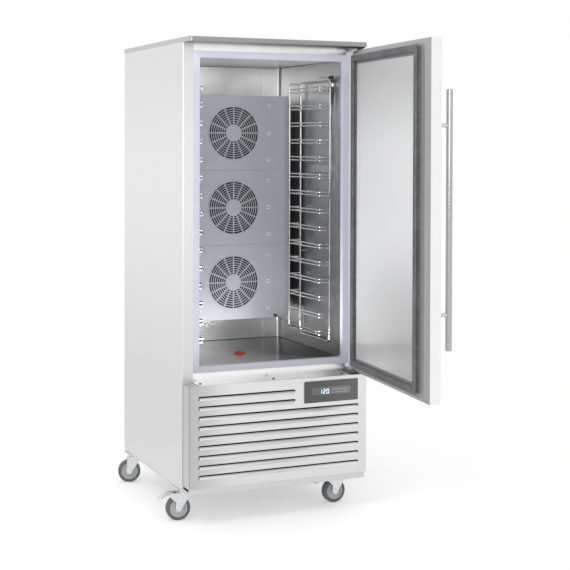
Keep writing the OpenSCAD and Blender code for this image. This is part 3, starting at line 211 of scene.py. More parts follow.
def make_edge_group():
    group, given, result = new_group("Eased Edge", [("Radius", "NodeSocketFloat", 0.001)],
                                     [("Normal", "NodeSocketVector"), ("Edge", "NodeSocketFloat")])
    bevel = add_node(group, "ShaderNodeBevel", {"Radius": given["Radius"]}, samples=4)
    flat = add_node(group, "ShaderNodeNewGeometry").outputs["Normal"]
    dot = add_node(group, "ShaderNodeVectorMath", {0: bevel.outputs[0], 1: flat}, operation="DOT_PRODUCT")
    edge = add_span(group, dot.outputs["Value"], *EDGE_TURNS)
    group.links.new(bevel.outputs[0], result["Normal"])
    group.links.new(edge, result["Edge"])
    return group


def make_grain_group():
    group, given, result = new_group(
        "Rolled Grain",
        [("Stretch", "NodeSocketVector", (1, 1, 1)), ("Scale", "NodeSocketFloat", 400.0),
         ("Depth", "NodeSocketFloat", 0.1), ("Wave", "NodeSocketFloat", 0.1),
         ("Normal", "NodeSocketVector", (0, 0, 1))],
        [("Shade", "NodeSocketFloat"), ("Normal", "NodeSocketVector")])
    where = object_place(group)
    drawn = add_node(group, "ShaderNodeVectorMath", {0: where, 1: given["Stretch"]}, operation="MULTIPLY")
    grain = add_node(group, "ShaderNodeTexNoise", {"Vector": drawn.outputs[0], "Scale": given["Scale"],
                                                   "Detail": 3.0, "Roughness": 0.6})
    wave = add_node(group, "ShaderNodeTexNoise", {"Vector": where, "Scale": 2.6, "Detail": 1.0})
    swell = add_node(group, "ShaderNodeBump", {"Strength": given["Wave"], "Distance": 0.02,
                                               "Height": wave.outputs["Fac"], "Normal": given["Normal"]})
    fine = add_node(group, "ShaderNodeBump", {"Strength": given["Depth"], "Distance": 0.0003,
                                              "Height": grain.outputs["Fac"], "Normal": swell.outputs[0]})
    group.links.new(grain.outputs["Fac"], result["Shade"])
    group.links.new(fine.outputs[0], result["Normal"])
    return group


def make_marks_group():
    group, given, result = new_group("Handling Marks", [("Scale", "NodeSocketFloat", 6.0),
                                                        ("Cover", "NodeSocketFloat", 0.5)],
                                     [("Mask", "NodeSocketFloat")])
    where = object_place(group)
    broad = add_node(group, "ShaderNodeTexNoise", {"Vector": where, "Scale": given["Scale"], "Detail": 4.0,
                                                   "Distortion": 0.6})
    small_scale = add_math(group, "MULTIPLY", given["Scale"], 7.0)
    small = add_node(group, "ShaderNodeTexNoise", {"Vector": where, "Scale": small_scale, "Detail": 3.0})
    both = add_math(group, "MULTIPLY", broad.outputs["Fac"], small.outputs["Fac"])
    mask = add_span(group, both, *MARKS_SHOW)
    covered = add_math(group, "MULTIPLY", mask, given["Cover"], clamp=True)
    group.links.new(covered, result["Mask"])
    return group


EASED_EDGE, ROLLED_GRAIN, HANDLING_MARKS = make_edge_group(), make_grain_group(), make_marks_group()
print("groups:", [group.name for group in bpy.data.node_groups])

# %% [markdown]
# A finish starts from the Principled shader. Metal is fully metallic with a pale base colour. Plastic,
# rubber and paint are not metallic. What is the same all over the surface, such as metallic, is set on the
# socket.


# %% Finish helpers
class Finish:
    """A material under construction: its node tree, its shader, and the shared effects at hand."""

    def __init__(self, name, metallic, roughness, edge_radius=0.0008):
        self.material = bpy.data.materials.new(name)
        self.material.use_nodes = True
        self.tree = self.material.node_tree
        self.shader = self.tree.nodes["Principled BSDF"]
        self.shader.inputs["Metallic"].default_value = metallic
        self.shader.inputs["Roughness"].default_value = roughness
        self.edge = self.group(EASED_EDGE, {"Radius": edge_radius})
        self.link(self.edge["Normal"], "Normal")

    def group(self, tree, sockets):
        return add_node(self.tree, "ShaderNodeGroup", sockets, node_tree=tree).outputs

    def link(self, socket, name):
        self.tree.links.new(socket, self.shader.inputs[name])

    def grain(self, stretch, scale, depth, wave=0.0):
        made = self.group(ROLLED_GRAIN, {"Stretch": stretch, "Scale": scale, "Depth": depth, "Wave": wave,
                                         "Normal": self.edge["Normal"]})
        self.link(made["Normal"], "Normal")
        return made["Shade"]

    def cells(self, scale):
        where = object_place(self.tree)
        return add_node(self.tree, "ShaderNodeTexVoronoi", {"Vector": where, "Scale": scale}).outputs

    def marks(self, scale, cover):
        return self.group(HANDLING_MARKS, {"Scale": scale, "Cover": cover})["Mask"]

    def math(self, operation, a, b=0.0):
        return add_math(self.tree, operation, a, b)

    def mix(self, factor, a, b):
        return add_mix(self.tree, factor, a, b)

    def span(self, value, low, high, to_low=0.0, to_high=1.0):
        return add_span(self.tree, value, low, high, to_low, to_high)

    def colour(self, factor, low, high):
        self.link(self.mix(factor, low, high), "Base Color")

    def roughness(self, factor, low, high):
        self.link(self.span(factor, 0.0, 1.0, low, high), "Roughness")

    def axis(self, axis):
        return axis_of(self.tree, object_place(self.tree), axis)

    def past(self, axis, limit):
        """One past a limit along an axis, nought before it."""
        return self.math("GREATER_THAN", self.axis(axis), limit)

    def facing(self, axis):
        """How far the surface faces along an axis, from -1 to 1, in the piece's own frame."""
        return axis_of(self.tree, add_node(self.tree, "ShaderNodeTexCoord").outputs["Normal"], axis)

    def beyond(self, vector, axis, low, high, soft):
        """One outside a span along an axis, nought inside it, with a soft step of the given width."""
        middle, half = (low + high) / 2, (high - low) / 2
        away = self.math("SUBTRACT", axis_of(self.tree, vector, axis), middle)
        return self.span(self.math("ABSOLUTE", away), half - soft / 2, half + soft / 2)

    def outside(self, vector, low, high, soft=0.0005):
        """One outside a rectangle in X and Z, nought inside it."""
        beside = self.beyond(vector, "X", low.x, high.x, soft)
        return self.math("MAXIMUM", beside, self.beyond(vector, "Z", low.z, high.z, soft))


# %% [markdown]
# The outer sheets are satin stainless steel: a vertical grain, a soft shine and pale colour, with painted light
# and shade by place on some of them. The cavity is made of a smoother sheet, and the rods and the door's handle
# are polished. A real cavity mirrors a whole studio that isn't modelled here. So its broad pale and dull parts are
# painted reflection and painted shade, told by their place: a pale ceiling, duller side walls that pale upwards,
# and a floor that runs from pale to dark.

# %% Stainless steel
CAVITY_HALF, CAVITY_BACK, FLOOR_Z, CEILING_Z = 328.0, 688.0, 630.0, 1891.0
SKIN, CORNER_W = 1.0, 12.0
WALL_PAINTED_LIGHT = (0.9, 1.85)
FLOOR_PAINTED_REFLECTION = (-170.0, 190.0)
SIDE_PAINTED_LIGHT, SIDE_PAINTED_SHADE = (0.35, 1.35), (1.45, 1.93)
CAP_FRONT, DOWNWARD = 4.0, -0.5


def satin_sheet(name, low, high, rough_low=0.33, rough_high=0.42, wave=0.05):
    finish = Finish(name, 1.0, 0.36)
    finish.colour(finish.grain((1, 1, 0.02), 900.0, 0.12, wave), low, high)
    finish.roughness(finish.marks(3.0, 0.6), rough_low, rough_high)
    return finish.material


def satin_steel():
    return satin_sheet("satin_steel", 0.58, 0.66)


def side_sheet():
    """The tall side, with painted light: palest at chest height, with painted shade low down and near the top."""
    finish = Finish("side_sheet", 1.0, 0.37)
    shade = finish.grain((1, 1, 0.02), 900.0, 0.12, 0.04)
    low, middle, top = (finish.mix(shade, level, level + 0.05) for level in (0.65, 0.81, 0.75))
    lit = finish.mix(finish.span(finish.axis("Z"), *SIDE_PAINTED_LIGHT), low, middle)
    finish.link(finish.mix(finish.span(finish.axis("Z"), *SIDE_PAINTED_SHADE), lit, top), "Base Color")
    return finish.material


def cap_sheet():
    """The roof's sheet, with a painted dark reflection along its front edge and painted shade underneath."""
    finish = Finish("cap_sheet", 1.0, 0.34)
    shade = finish.grain((0.02, 1, 1), 900.0, 0.12, 0.03)
    under = finish.math("LESS_THAN", finish.facing("Z"), DOWNWARD)
    front = finish.math("LESS_THAN", finish.axis("Y"), roof_low.y + CAP_FRONT * MM)
    plain = finish.mix(front, finish.mix(shade, 0.52, 0.6), 0.36)
    finish.link(finish.mix(under, plain, 0.05), "Base Color")
    return finish.material


def polished_steel():
    """The cavity's sheet, with painted reflection and shade by place: a pale ceiling, side walls that pale
    upwards, a back wall and pale back corners.
    """
    finish = Finish("polished_steel", 0.8, 0.16)
    shade = finish.grain((1, 1, 0.03), 700.0, 0.0)
    side_wall = finish.mix(finish.span(finish.axis("Z"), *WALL_PAINTED_LIGHT), 0.24, finish.mix(shade, 0.5, 0.55))
    rear_wall = finish.past("Y", at_y(CAVITY_BACK - SKIN))
    wall = finish.mix(rear_wall, side_wall, finish.mix(shade, 0.64, 0.69))
    # Painted light: the ceiling and the back corners are paler and less metallic, where a dark reflection would
    # fall.
    above = finish.past("Z", (CEILING_Z - SKIN) * MM)
    right = finish.past("X", at_x(CAVITY_HALF - SKIN))
    rear = finish.past("Y", at_y(CAVITY_BACK - CORNER_W))
    corner = finish.math("MULTIPLY", rear, finish.past("X", at_x(CAVITY_HALF - CORNER_W)))
    plain = finish.math("MAXIMUM", corner, above)
    finish.link(finish.mix(above, finish.mix(corner, wall, 0.9), 0.97), "Base Color")
    finish.link(finish.math("SUBTRACT", 0.8, finish.math("MULTIPLY", plain, 0.4)), "Metallic")
    finish.link(finish.math("ADD", 0.26, finish.math("MULTIPLY", right, 0.08)), "Roughness")
    return finish.material


def floor_steel():
    """The same sheet on the cavity's floor, with a painted reflection: pale at the left and dark at the right."""
    finish = Finish("floor_steel", 0.8, 0.2)
    shade = finish.grain((1, 0.03, 1), 700.0, 0.0)
    across = finish.span(finish.axis("X"), *map(at_x, FLOOR_PAINTED_REFLECTION))
    finish.colour(across, finish.mix(shade, 0.9, 0.96), finish.mix(shade, 0.015, 0.03))
    return finish.material


def bright_rod():
    finish = Finish("bright_rod", 1.0, 0.12, 0.0003)
    finish.colour(finish.grain((1, 1, 0.05), 1200.0, 0.04), 0.56, 0.7)
    finish.roughness(finish.marks(9.0, 0.7), 0.1, 0.2)
    return finish.material


print("cavity: %.0f mm wide and %.0f mm high" % (2 * CAVITY_HALF, CEILING_Z - FLOOR_Z))

# %% [markdown]
# The fan covers are sheets with a blue-grey coating, so they look duller and cooler than the steel round
# them. The breaker frame round the opening is a pale lilac plastic extrusion, which keeps the cold inside
# the walls.

# %% Coated sheet and plastic
FAN_FACE_Y, FACE_SLACK = 439.0, 0.5
HEAD_PAINTED_LIGHT, FOOT_PAINTED_SHADE = (1.8, 1.9), (0.6, 0.72)


def fan_cover():
    """A blue-grey coat on the face. Everything behind the face is painted shade, near black, so the cut edges of
    the grille's slots are dark.
    """
    finish = Finish("fan_cover", 0.6, 0.42)
    coat = finish.mix(finish.grain((1, 1, 1), 500.0, 0.05, 0.06), (0.36, 0.37, 0.405), (0.42, 0.43, 0.47))
    finish.colour(finish.past("Y", at_y(FAN_FACE_Y + FACE_SLACK)), coat, 0.012)
    finish.roughness(finish.marks(4.0, 0.7), 0.38, 0.5)
    return finish.material


def breaker():
    finish = Finish("breaker", 0.0, 0.45)
    finish.grain((1, 1, 1), 600.0, 0.04)
    plain = finish.mix(finish.marks(7.0, 0.5), (0.62, 0.635, 0.74), (0.57, 0.585, 0.69))
    # Painted light makes the head paler; painted shade darkens the foot.
    head = finish.mix(finish.span(finish.axis("Z"), *HEAD_PAINTED_LIGHT), plain, (0.8, 0.82, 0.94))
    finish.colour(finish.span(finish.axis("Z"), *FOOT_PAINTED_SHADE), (0.46, 0.47, 0.52), head)
    return finish.material


def foam():
    finish = Finish("foam", 0.0, 0.85)
    finish.colour(finish.cells(420.0)["Distance"], (0.78, 0.66, 0.36), (0.86, 0.78, 0.5))
    finish.grain((1, 1, 1), 420.0, 0.5)
    return finish.material


print("breaker frame: palest from %.2f m up, dullest below %.2f m" % (HEAD_PAINTED_LIGHT[1], FOOT_PAINTED_SHADE[0]))

# %% [markdown]
# Zinc plate is a thin bluish coat on pressed steel. Its faint spangle is a cell pattern in the colour, and
# its duller spots are marks in the roughness. The hinges have a dark coat that is worn pale at its edges.

# %% Zinc, hinge coat and copper
RECEIVER_AT, RECEIVER_HALF, RECEIVER_TOP = (-230.0, 420.0, 0.0), 50.0, 379.0


def zinc():
    finish = Finish("zinc", 1.0, 0.35, 0.0006)
    finish.colour(finish.cells(160.0)["Color"], (0.64, 0.65, 0.66), (0.72, 0.73, 0.74))
    finish.roughness(finish.marks(14.0, 1.0), 0.2, 0.34)
    return finish.material


def hinge_coat():
    finish = Finish("hinge_coat", 0.5, 0.45, 0.0006)
    finish.colour(finish.edge["Edge"], 0.035, 0.16)
    finish.grain((1, 1, 1), 500.0, 0.12)
    return finish.material


def copper_and_receiver():
    """Bright tube lines, and a black vessel that is told from them by its distance from its own axis."""
    finish = Finish("copper_line", 1.0, 0.28, 0.0004)
    away = [finish.math("ABSOLUTE", finish.math("SUBTRACT", finish.axis(axis), centre))
            for axis, centre in zip("XY", place(*RECEIVER_AT))]
    beside = finish.math("GREATER_THAN", finish.math("MAXIMUM", *away), RECEIVER_HALF * MM)
    tube = finish.math("MAXIMUM", beside, finish.past("Z", RECEIVER_TOP * MM))
    tarnish = finish.mix(finish.marks(16.0, 1.0), (0.82, 0.42, 0.26), (0.5, 0.24, 0.14))
    finish.colour(tube, (0.02, 0.02, 0.022), tarnish)
    finish.link(tube, "Metallic")
    return finish.material


print("receiver: %.0f mm about its axis, up to %.0f mm" % (RECEIVER_HALF, RECEIVER_TOP))

# %% [markdown]
# The coils are stacks of thin aluminium fins, painted near black as shade behind the fan grilles. Their pitch is
# far finer than any mesh needs, so the gaps between them are drawn as darker lines of painted shade across X, over
# the coarse combs that the solids already have.

# %% Fins
FIN_PITCH = 0.0026


def fins():
    finish = Finish("fins", 0.9, 0.4, 0.0004)
    lines = finish.math("SINE", finish.math("MULTIPLY", finish.axis("X"), 2 * math.pi / FIN_PITCH))
    finish.colour(finish.span(lines, -0.6, 0.6), 0.015, 0.07)
    finish.roughness(finish.marks(11.0, 0.8), 0.35, 0.6)
    return finish.material


print("fins: one every %.1f mm" % (FIN_PITCH / MM))

# %% [markdown]
# Moulded, rubber and enamelled skins are built alike and differ in their numbers, so a function and a table
# serve them all. A row says the roughness, the marks, two colours, the grain and the edge's radius.


# %% Moulded and enamelled parts
def moulded(name, roughness, marks, low, high, grain, edge_radius=0.0006):
    """Two near colours in faint marks, over a fine grain."""
    finish = Finish(name, 0.0, roughness, edge_radius)
    finish.colour(finish.marks(*marks), low, high)
    finish.grain((1, 1, 1), *grain)
    return finish.material


RUBBER_GRAIN = (700.0, 0.14)
MOULDED = {
    "drain": ("drain_plastic", 0.5, (8.0, 0.8), (0.72, 0.72, 0.69), (0.6, 0.6, 0.57), (300.0, 0.06), 0.0008),
    "probe_grip": ("probe_grip", 0.42, (20.0, 0.7), 0.022, 0.05, (900.0, 0.18), 0.0004),
    "hub": ("hub_plastic", 0.4, (18.0, 0.9), 0.5, 0.42, (500.0, 0.08), 0.0005),
    "machine_black": ("black_enamel", 0.3, (12.0, 0.8), 0.012, 0.04, (200.0, 0.12), 0.0008),
    "rotor": ("rotor_plastic", 0.4, (15.0, 0.7), (0.012, 0.012, 0.014), (0.03, 0.03, 0.034), (400.0, 0.08)),
    "gasket": ("gasket_rubber", 0.55, (9.0, 0.9), (0.1, 0.1, 0.108), (0.15, 0.15, 0.16), RUBBER_GRAIN),
    "plug": ("drain_rubber", 0.42, (22.0, 0.9), (0.62, 0.075, 0.028), (0.48, 0.05, 0.02), RUBBER_GRAIN),
    "cable": ("cable_jacket", 0.5, (30.0, 0.9), (0.13, 0.12, 0.11), (0.085, 0.08, 0.075), RUBBER_GRAIN),
    "tread": ("tyre_rubber", 0.6, (25.0, 0.9), (0.1, 0.103, 0.11), (0.15, 0.153, 0.16), RUBBER_GRAIN),
}
print("moulded finishes:", len(MOULDED))

# %% [markdown]
# The control fascia is one dark moulding with a smooth window. A painted sheen runs across it, from charcoal at
# the left to a lighter grey at the right.

# %% Fascia and needle
WINDOW_LOW, WINDOW_HIGH = (140.0, -85.5, 500.0), (318.0, -85.5, 531.5)
RED_TIP_L = 17.0


def fascia_glass():
    finish = Finish("fascia_glass", 0.0, 0.16, 0.0006)
    low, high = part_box("control_fascia")
    plain = finish.outside(object_place(finish.tree), place(*WINDOW_LOW), place(*WINDOW_HIGH))
    painted_sheen = finish.span(finish.axis("X"), low.x, high.x, 0.3, 1.0)
    finish.colour(plain, finish.mix(painted_sheen, 0.07, 0.2), finish.mix(painted_sheen, 0.04, 0.1))
    finish.roughness(finish.marks(16.0, 0.7), 0.12, 0.24)
    finish.shader.inputs["Coat Weight"].default_value = 0.4
    return finish.material


def probe_steel():
    """Polished steel with a red end, where the sensor sits."""
    finish = Finish("probe_steel", 1.0, 0.16, 0.0002)
    red = finish.math("LESS_THAN", finish.axis("X"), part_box("probe_needle")[0].x + RED_TIP_L * MM)
    finish.colour(red, finish.mix(finish.marks(40.0, 0.8), 0.5, 0.35), (0.7, 0.03, 0.02))
    finish.link(finish.math("SUBTRACT", 1.0, red), "Metallic")
    return finish.material


print("display window:", WINDOW_HIGH[0] - WINDOW_LOW[0], "by", WINDOW_HIGH[2] - WINDOW_LOW[2], "mm")

# %% [markdown]
# The inner side of the door is a bright plate inside the gasket and a duller flange outside it. The plate carries
# painted light and shade: brightest at chest height, darker at its top and darker at its foot, unevenly across.
# The door stands open, so its pattern is worked out on the shut door, where the plate's edges run along the axes.

# %% Door's inner side
GASKET_INNER_LOW, GASKET_INNER_HIGH = (-312.0, -21.0, 639.0), (312.0, -21.0, 1879.0)
PLATE_TOP, PLATE_FOOT, PLATE_ACROSS = (1.86, 1.5), (0.7, 1.25), (-300.0, 200.0)


def door_inner():
    finish = Finish("door_inner", 0.2, 0.4)
    finish.grain((0.03, 0.03, 1), 700.0, 0.04)
    where = shut_door_place(finish.tree)
    flange = finish.outside(where, place(*GASKET_INNER_LOW), place(*GASKET_INNER_HIGH))
    height, across = axis_of(finish.tree, where, "Z"), axis_of(finish.tree, where, "X")
    # Painted light and shade on the plate: a darker foot, a bright middle and a darker top.
    foot = finish.mix(finish.span(across, *map(at_x, PLATE_ACROSS)), 0.44, 0.62)
    lit = finish.mix(finish.span(height, *PLATE_FOOT), foot, 0.88)
    finish.colour(flange, finish.mix(finish.span(height, *PLATE_TOP), 0.56, lit), 0.3)
    return finish.material


print("door plate: %.0f mm wide inside the gasket" % (GASKET_INNER_HIGH[0] - GASKET_INNER_LOW[0]))

# %% [markdown]
# The front panel carries painted light, palest at its top, and painted shade along its left margin. Behind each
# louvre's upper edge the sheet dips away from the light. That narrow throat, the louvres' ends, the upper part of
# each slat, the folds and the flank beside the side panel are painted shade. The louvres repeat, so the remainder
# of the height after whole pitches tells how far below its own louvre's top a point lies.

# %% Front panel
LOUVRE_TOP, LOUVRE_PITCH, LOUVRE_LEFT = 531.0, 39.4, -356.0
PANEL_LOW, PANEL_HIGH = 162.0, 573.0
THROAT_END, THROAT_SOFT, DIP_END = 6.0, 8.5, 17.0
END_W, END_SLACK, PRESS_DEPTH = 6.0, 2.0, 1.6
MARGIN_SHADE_FADES, FLANK_X, FLANK_FADES = (-395.0, -180.0), -393.0, (-13.0, -9.0)
END_FACES, FOLD_FACES = -0.7, (-0.35, -0.92)


def front_panel_sheet():
    finish = Finish("panel_sheet", 1.0, 0.3)
    shade = finish.grain((0.02, 1, 1), 900.0, 0.06)
    height, across, facing = finish.axis("Z"), finish.axis("X"), finish.facing("X")
    # Painted light: palest at the top; painted shade along the left margin.
    lit = finish.mix(finish.span(height, PANEL_LOW * MM, PANEL_HIGH * MM),
                     finish.mix(shade, 0.68, 0.74), finish.mix(shade, 0.76, 0.82))
    lit = finish.mix(finish.span(across, *map(at_x, MARGIN_SHADE_FADES)), 0.52, lit)
    # Painted shade in each louvre's throat, at its ends, over the slat's upper part, on the folds and on the
    # flank.
    step = finish.math("FLOORED_MODULO", finish.math("SUBTRACT", LOUVRE_TOP * MM, height), LOUVRE_PITCH * MM)
    throat_shade = finish.span(step, THROAT_END * MM, THROAT_SOFT * MM, 1.0, 0.0)
    leftward = finish.math("LESS_THAN", facing, END_FACES)
    right_end = finish.math("MULTIPLY", leftward, finish.past("X", middle_x))
    left_end = finish.math("LESS_THAN", across, at_x(LOUVRE_LEFT + END_W))
    throat_shade = finish.math("MAXIMUM", throat_shade, finish.math("MAXIMUM", right_end, left_end))
    among = finish.math("MULTIPLY", finish.past("Y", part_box("louvre_panel")[0].y + PRESS_DEPTH * MM),
                        finish.past("X", at_x(LOUVRE_LEFT - END_SLACK)))
    slat_shade = finish.span(step, THROAT_SOFT * MM, DIP_END * MM, 0.5, 1.0)
    bent = finish.mix(among, lit, finish.mix(slat_shade, 0.12, 0.9))
    flank_shade = finish.math("MULTIPLY", finish.math("LESS_THAN", across, at_x(FLANK_X)),
                        finish.span(finish.axis("Y"), *map(at_y, FLANK_FADES)))
    fold_shade = finish.math("MULTIPLY", finish.math("LESS_THAN", facing, FOLD_FACES[0]),
                          finish.math("GREATER_THAN", facing, FOLD_FACES[1]))
    dark = finish.math("MAXIMUM", finish.math("MULTIPLY", throat_shade, among), flank_shade)
    finish.colour(dark, finish.mix(fold_shade, bent, 0.3), 0.02)
    finish.roughness(shade, 0.3, 0.36)
    return finish.material


print("louvres: every %.1f mm, down from %.0f mm" % (LOUVRE_PITCH, LOUVRE_TOP))

# %% [markdown]
# Every row of the record says which finish a piece takes. Two tables join those names to the finishes
# above. Another one names the pieces that share a row but not a material.

# %% Give each solid its finish
SLOT_FINISHES = {
    "satin_steel": satin_steel, "polished_steel": polished_steel, "wire": bright_rod, "fan_cover": fan_cover,
    "breaker": breaker, "foam": foam, "zinc": zinc, "hinge": hinge_coat, "fascia": fascia_glass, "fins": fins,
    "copper": copper_and_receiver,
}
MATERIALS = {slot: make() for slot, make in SLOT_FINISHES.items()}
MATERIALS.update((slot, moulded(*values)) for slot, values in MOULDED.items())
BASE_SHEET, SIDE_SHEET = satin_sheet("base_sheet", 0.6, 0.66), side_sheet()
OWN_FINISHES = {
    "probe_needle": probe_steel(), "door_liner": door_inner(), "floor_pan": floor_steel(),
    "roof_cap": cap_sheet(), "louvre_panel": front_panel_sheet(),
    "door_shell": satin_sheet("door_sheet", 0.88, 0.95),
    "handle_bar": satin_sheet("handle_steel", 0.44, 0.52, 0.16, 0.22, 0.0), "base_frame": BASE_SHEET,
    # The frame's sheet is a paler, smoother copy of the satin steel: painted light on the head in the roof's
    # shade.
    "front_frame": satin_sheet("frame_sheet", 0.9, 0.97, 0.22, 0.28, 0.01), "side_panel_left": SIDE_SHEET,
    "side_panel_right": SIDE_SHEET, "fan_motors": MATERIALS["machine_black"],
    # The evaporator's frame takes the dark hinge coat as painted shade behind the fan grilles.
    "evaporator_frame": MATERIALS["hinge"], "panel_screws": MATERIALS["hinge"],
}


def dress(node, material):
    node.data.materials.clear()
    node.data.materials.append(material)


for row in frame["record"]["subparts"]:
    dress(nodes[row["node"]], OWN_FINISHES.get(row["node"], MATERIALS[row["material_slot"]]))
print("finishes:", len(MATERIALS), "by row, and", len(OWN_FINISHES), "of", len(nodes), "pieces named apart")

# %% [markdown]
# A curve has a thickness of its own, so it makes a cable out of a list of points. The cable leaves the
# gland on the fan wall, climbs over the lowest pair of runners and hangs down the front of the rack from
# the probe. The points are a listed route. Between them, a Catmull-Rom curve gives the smooth line
# that a cable takes.

# %% Probe cable
CABLE_D = 4
CABLE_STEPS = 6
CABLE_POINTS = [
    (317, 95, 1705), (317, 95, 1692), (316, 95, 1670), (312, 94, 1636), (311, 91, 1597), (313, 85, 1560),
    (315, 79, 1510), (315, 78, 1460), (314, 80, 1413), (311, 88, 1376), (307, 94, 1324), (299, 96, 1254),
    (297, 96, 1190), (289, 97, 1130), (277, 98, 1058), (292, 96, 997), (308, 88, 952), (314, 64, 916),
    (315, 49, 888), (314, 60, 860), (306, 84, 832), (294, 94, 806), (290, 95, 780), (292, 100, 758),
    (296, 114, 742), (297, 132, 728), (297, 160, 715), (294, 190, 708), (290, 225, 704), (284, 260, 707),
    (275, 292, 717), (263, 320, 725), (252, 344, 730), (241, 366, 738), (229, 386, 747), (216, 404, 757),
    (206, 416, 764), (201, 423, 766), (200, 427, 767)]


def smooth_line(points, steps):
    """Catmull-Rom curve through the points, with a few straight steps for each stretch."""
    line = []
    for i in range(len(points) - 1):
        a, b = points[i], points[i + 1]
        before, after = points[max(i - 1, 0)], points[min(i + 2, len(points) - 1)]
        for k in range(steps):
            t = k / steps
            line.append(0.5 * (2 * a + (b - before) * t + (2 * before - 5 * a + 4 * b - after) * t ** 2
                               + (3 * a - before - 3 * b + after) * t ** 3))
    return line + [points[-1]]


def line_length(line):
    return sum((b - a).length for a, b in zip(line, line[1:]))


def add_tube(name, line, diameter, material):
    """A round tube along a line of points."""
    data = bpy.data.curves.new(name, "CURVE")
    data.dimensions = "3D"
    data.bevel_depth = diameter / 2
    data.bevel_resolution = 3
    data.use_fill_caps = True
    spline = data.splines.new("POLY")
    spline.points.add(len(line) - 1)
    for point, at in zip(spline.points, line):
        point.co = (*at, 1)
    data.materials.append(material)
    piece = bpy.data.objects.new(name, data)
    scene.collection.objects.link(piece)
    return piece


cable_line = smooth_line([place(*point) for point in CABLE_POINTS], CABLE_STEPS)[::-1]
cable = add_tube("probe_cable_jacket", cable_line, CABLE_D * MM, MATERIALS["cable"])
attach(cable, "cabinet")
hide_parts("probe_cable")
print("cable: %.3f m in %d steps" % (line_length(cable_line), len(cable_line)))

# %% [markdown]
# Small pieces are meshes written straight from points and faces. One helper makes the object, gives it its
# finish and tells the frame which body it rides on, so that it swings with the door or rolls with a wheel.


# %% Mesh helpers
def add_mesh(name, points, faces, material, body, slot):
    """A mesh piece that rides on a body."""
    mesh = bpy.data.meshes.new(name)
    mesh.from_pydata([tuple(point) for point in points], [], faces)
    mesh.materials.append(material)
    mesh.update()
    piece = bpy.data.objects.new(name, mesh)
    scene.collection.objects.link(piece)
    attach(piece, body)
    return piece


def box_mesh(low, high):
    """Points and outward faces of a plain box, given by its low and high corner."""
    points = [(x, y, z) for z in (low[2], high[2]) for y in (low[1], high[1]) for x in (low[0], high[0])]
    return points, [(0, 2, 3, 1), (4, 5, 7, 6), (0, 1, 5, 4), (2, 6, 7, 3), (0, 4, 6, 2), (1, 3, 7, 5)]


# %% [markdown]
# The gasket is a soft magnetic strip. Its foot clips into the door, a narrow bellows lets it give, and a
# wide lip holds the magnet. Its corners are cut at 45 degrees and welded, so each point of the strip's
# profile is simply drawn as a rectangle, set in by the point's place across the strip and lifted by its
# height.

# %% Door gasket
GASKET_HALF_W, GASKET_LOW, GASKET_HIGH = 338.0, 612.0, 1906.0
DOOR_FACE_Y = -21.0
GASKET_PROFILE = [
    (4, 0), (23, 0), (23.5, 2), (21.5, 4.5), (19.5, 6), (20.5, 8.5), (19, 11), (21, 12.6), (25, 13.2),
    (26.6, 14.2), (27, 16), (26.6, 18.2), (25.2, 19.4), (22.5, 19.7), (21.6, 19.2), (20.8, 19.7), (13.5, 20),
    (6.2, 19.7), (5.4, 19.2), (4.5, 19.7), (1.8, 19.4), (0.4, 18.2), (0, 16), (0.4, 14.2), (2, 13.2),
    (6, 12.6), (8, 11), (6.5, 8.5), (7.5, 6), (5.5, 4.5), (3.5, 2)]


def add_gasket():
    points, faces = [], []
    for across, height in GASKET_PROFILE:
        half, low, high = GASKET_HALF_W - across, GASKET_LOW + across, GASKET_HIGH - across
        y = DOOR_FACE_Y + height
        points += [on_door(x, y, z) for x, z in ((-half, low), (half, low), (half, high), (-half, high))]
    rows = len(GASKET_PROFILE)
    for i in range(rows):
        for k in range(4):
            a, b = i * 4, (i + 1) % rows * 4
            faces.append([a + k, a + (k + 1) % 4, b + (k + 1) % 4, b + k])
    gasket = add_mesh("door_gasket_strip", points, faces, MATERIALS["gasket"], "door", "gasket")
    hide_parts("door_gasket")
    return gasket


gasket = add_gasket()
print("gasket:", len(gasket.data.polygons), "faces")

# %% [markdown]
# The joints of the cavity are closed with a thin bead of sealant, which shows as a dark line where the
# floor and the ceiling meet the walls. A narrow standing seam runs down the back wall near its right
# corner. The front panel's lower lip is folded back to the base, so that no gap shows between them.

# %% Seams and lip
BEAD_D, BEAD_RISE, BEAD_FRONT = 2.6, 0.6, 26.0
SEAM_X, SEAM_W, SEAM_LIFT, SEAM_END = 246.0, 1.6, 0.5, 2.0
LIP_T, LIP_GAP, LIP_INSET, LIP_RISE, LIP_OVERLAP = 0.8, 0.6, 1.0, 2.0, 4.0


def sealant():
    finish = Finish("sealant", 0.0, 0.6, 0.0003)
    finish.colour(finish.marks(30.0, 0.8), 0.05, 0.1)
    return finish.material


def bead_line(z):
    back, half = CAVITY_BACK - SKIN, CAVITY_HALF - SKIN
    return [place(x, y, z) for x, y in ((-half, BEAD_FRONT), (-half, back), (half, back), (half, BEAD_FRONT))]


def add_seams():
    material = sealant()
    for name, z in (("floor_bead", FLOOR_Z + BEAD_RISE), ("ceiling_bead", CEILING_Z - BEAD_RISE)):
        bead = add_tube(name, bead_line(z), BEAD_D * MM, material)
        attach(bead, "cabinet")
    low = place(SEAM_X - SEAM_W / 2, CAVITY_BACK - SEAM_LIFT, FLOOR_Z + SEAM_END)
    high = place(SEAM_X + SEAM_W / 2, CAVITY_BACK, CEILING_Z - SEAM_END)
    add_mesh("back_wall_seam", *box_mesh(low, high), MATERIALS["zinc"], "cabinet", "polished_steel")


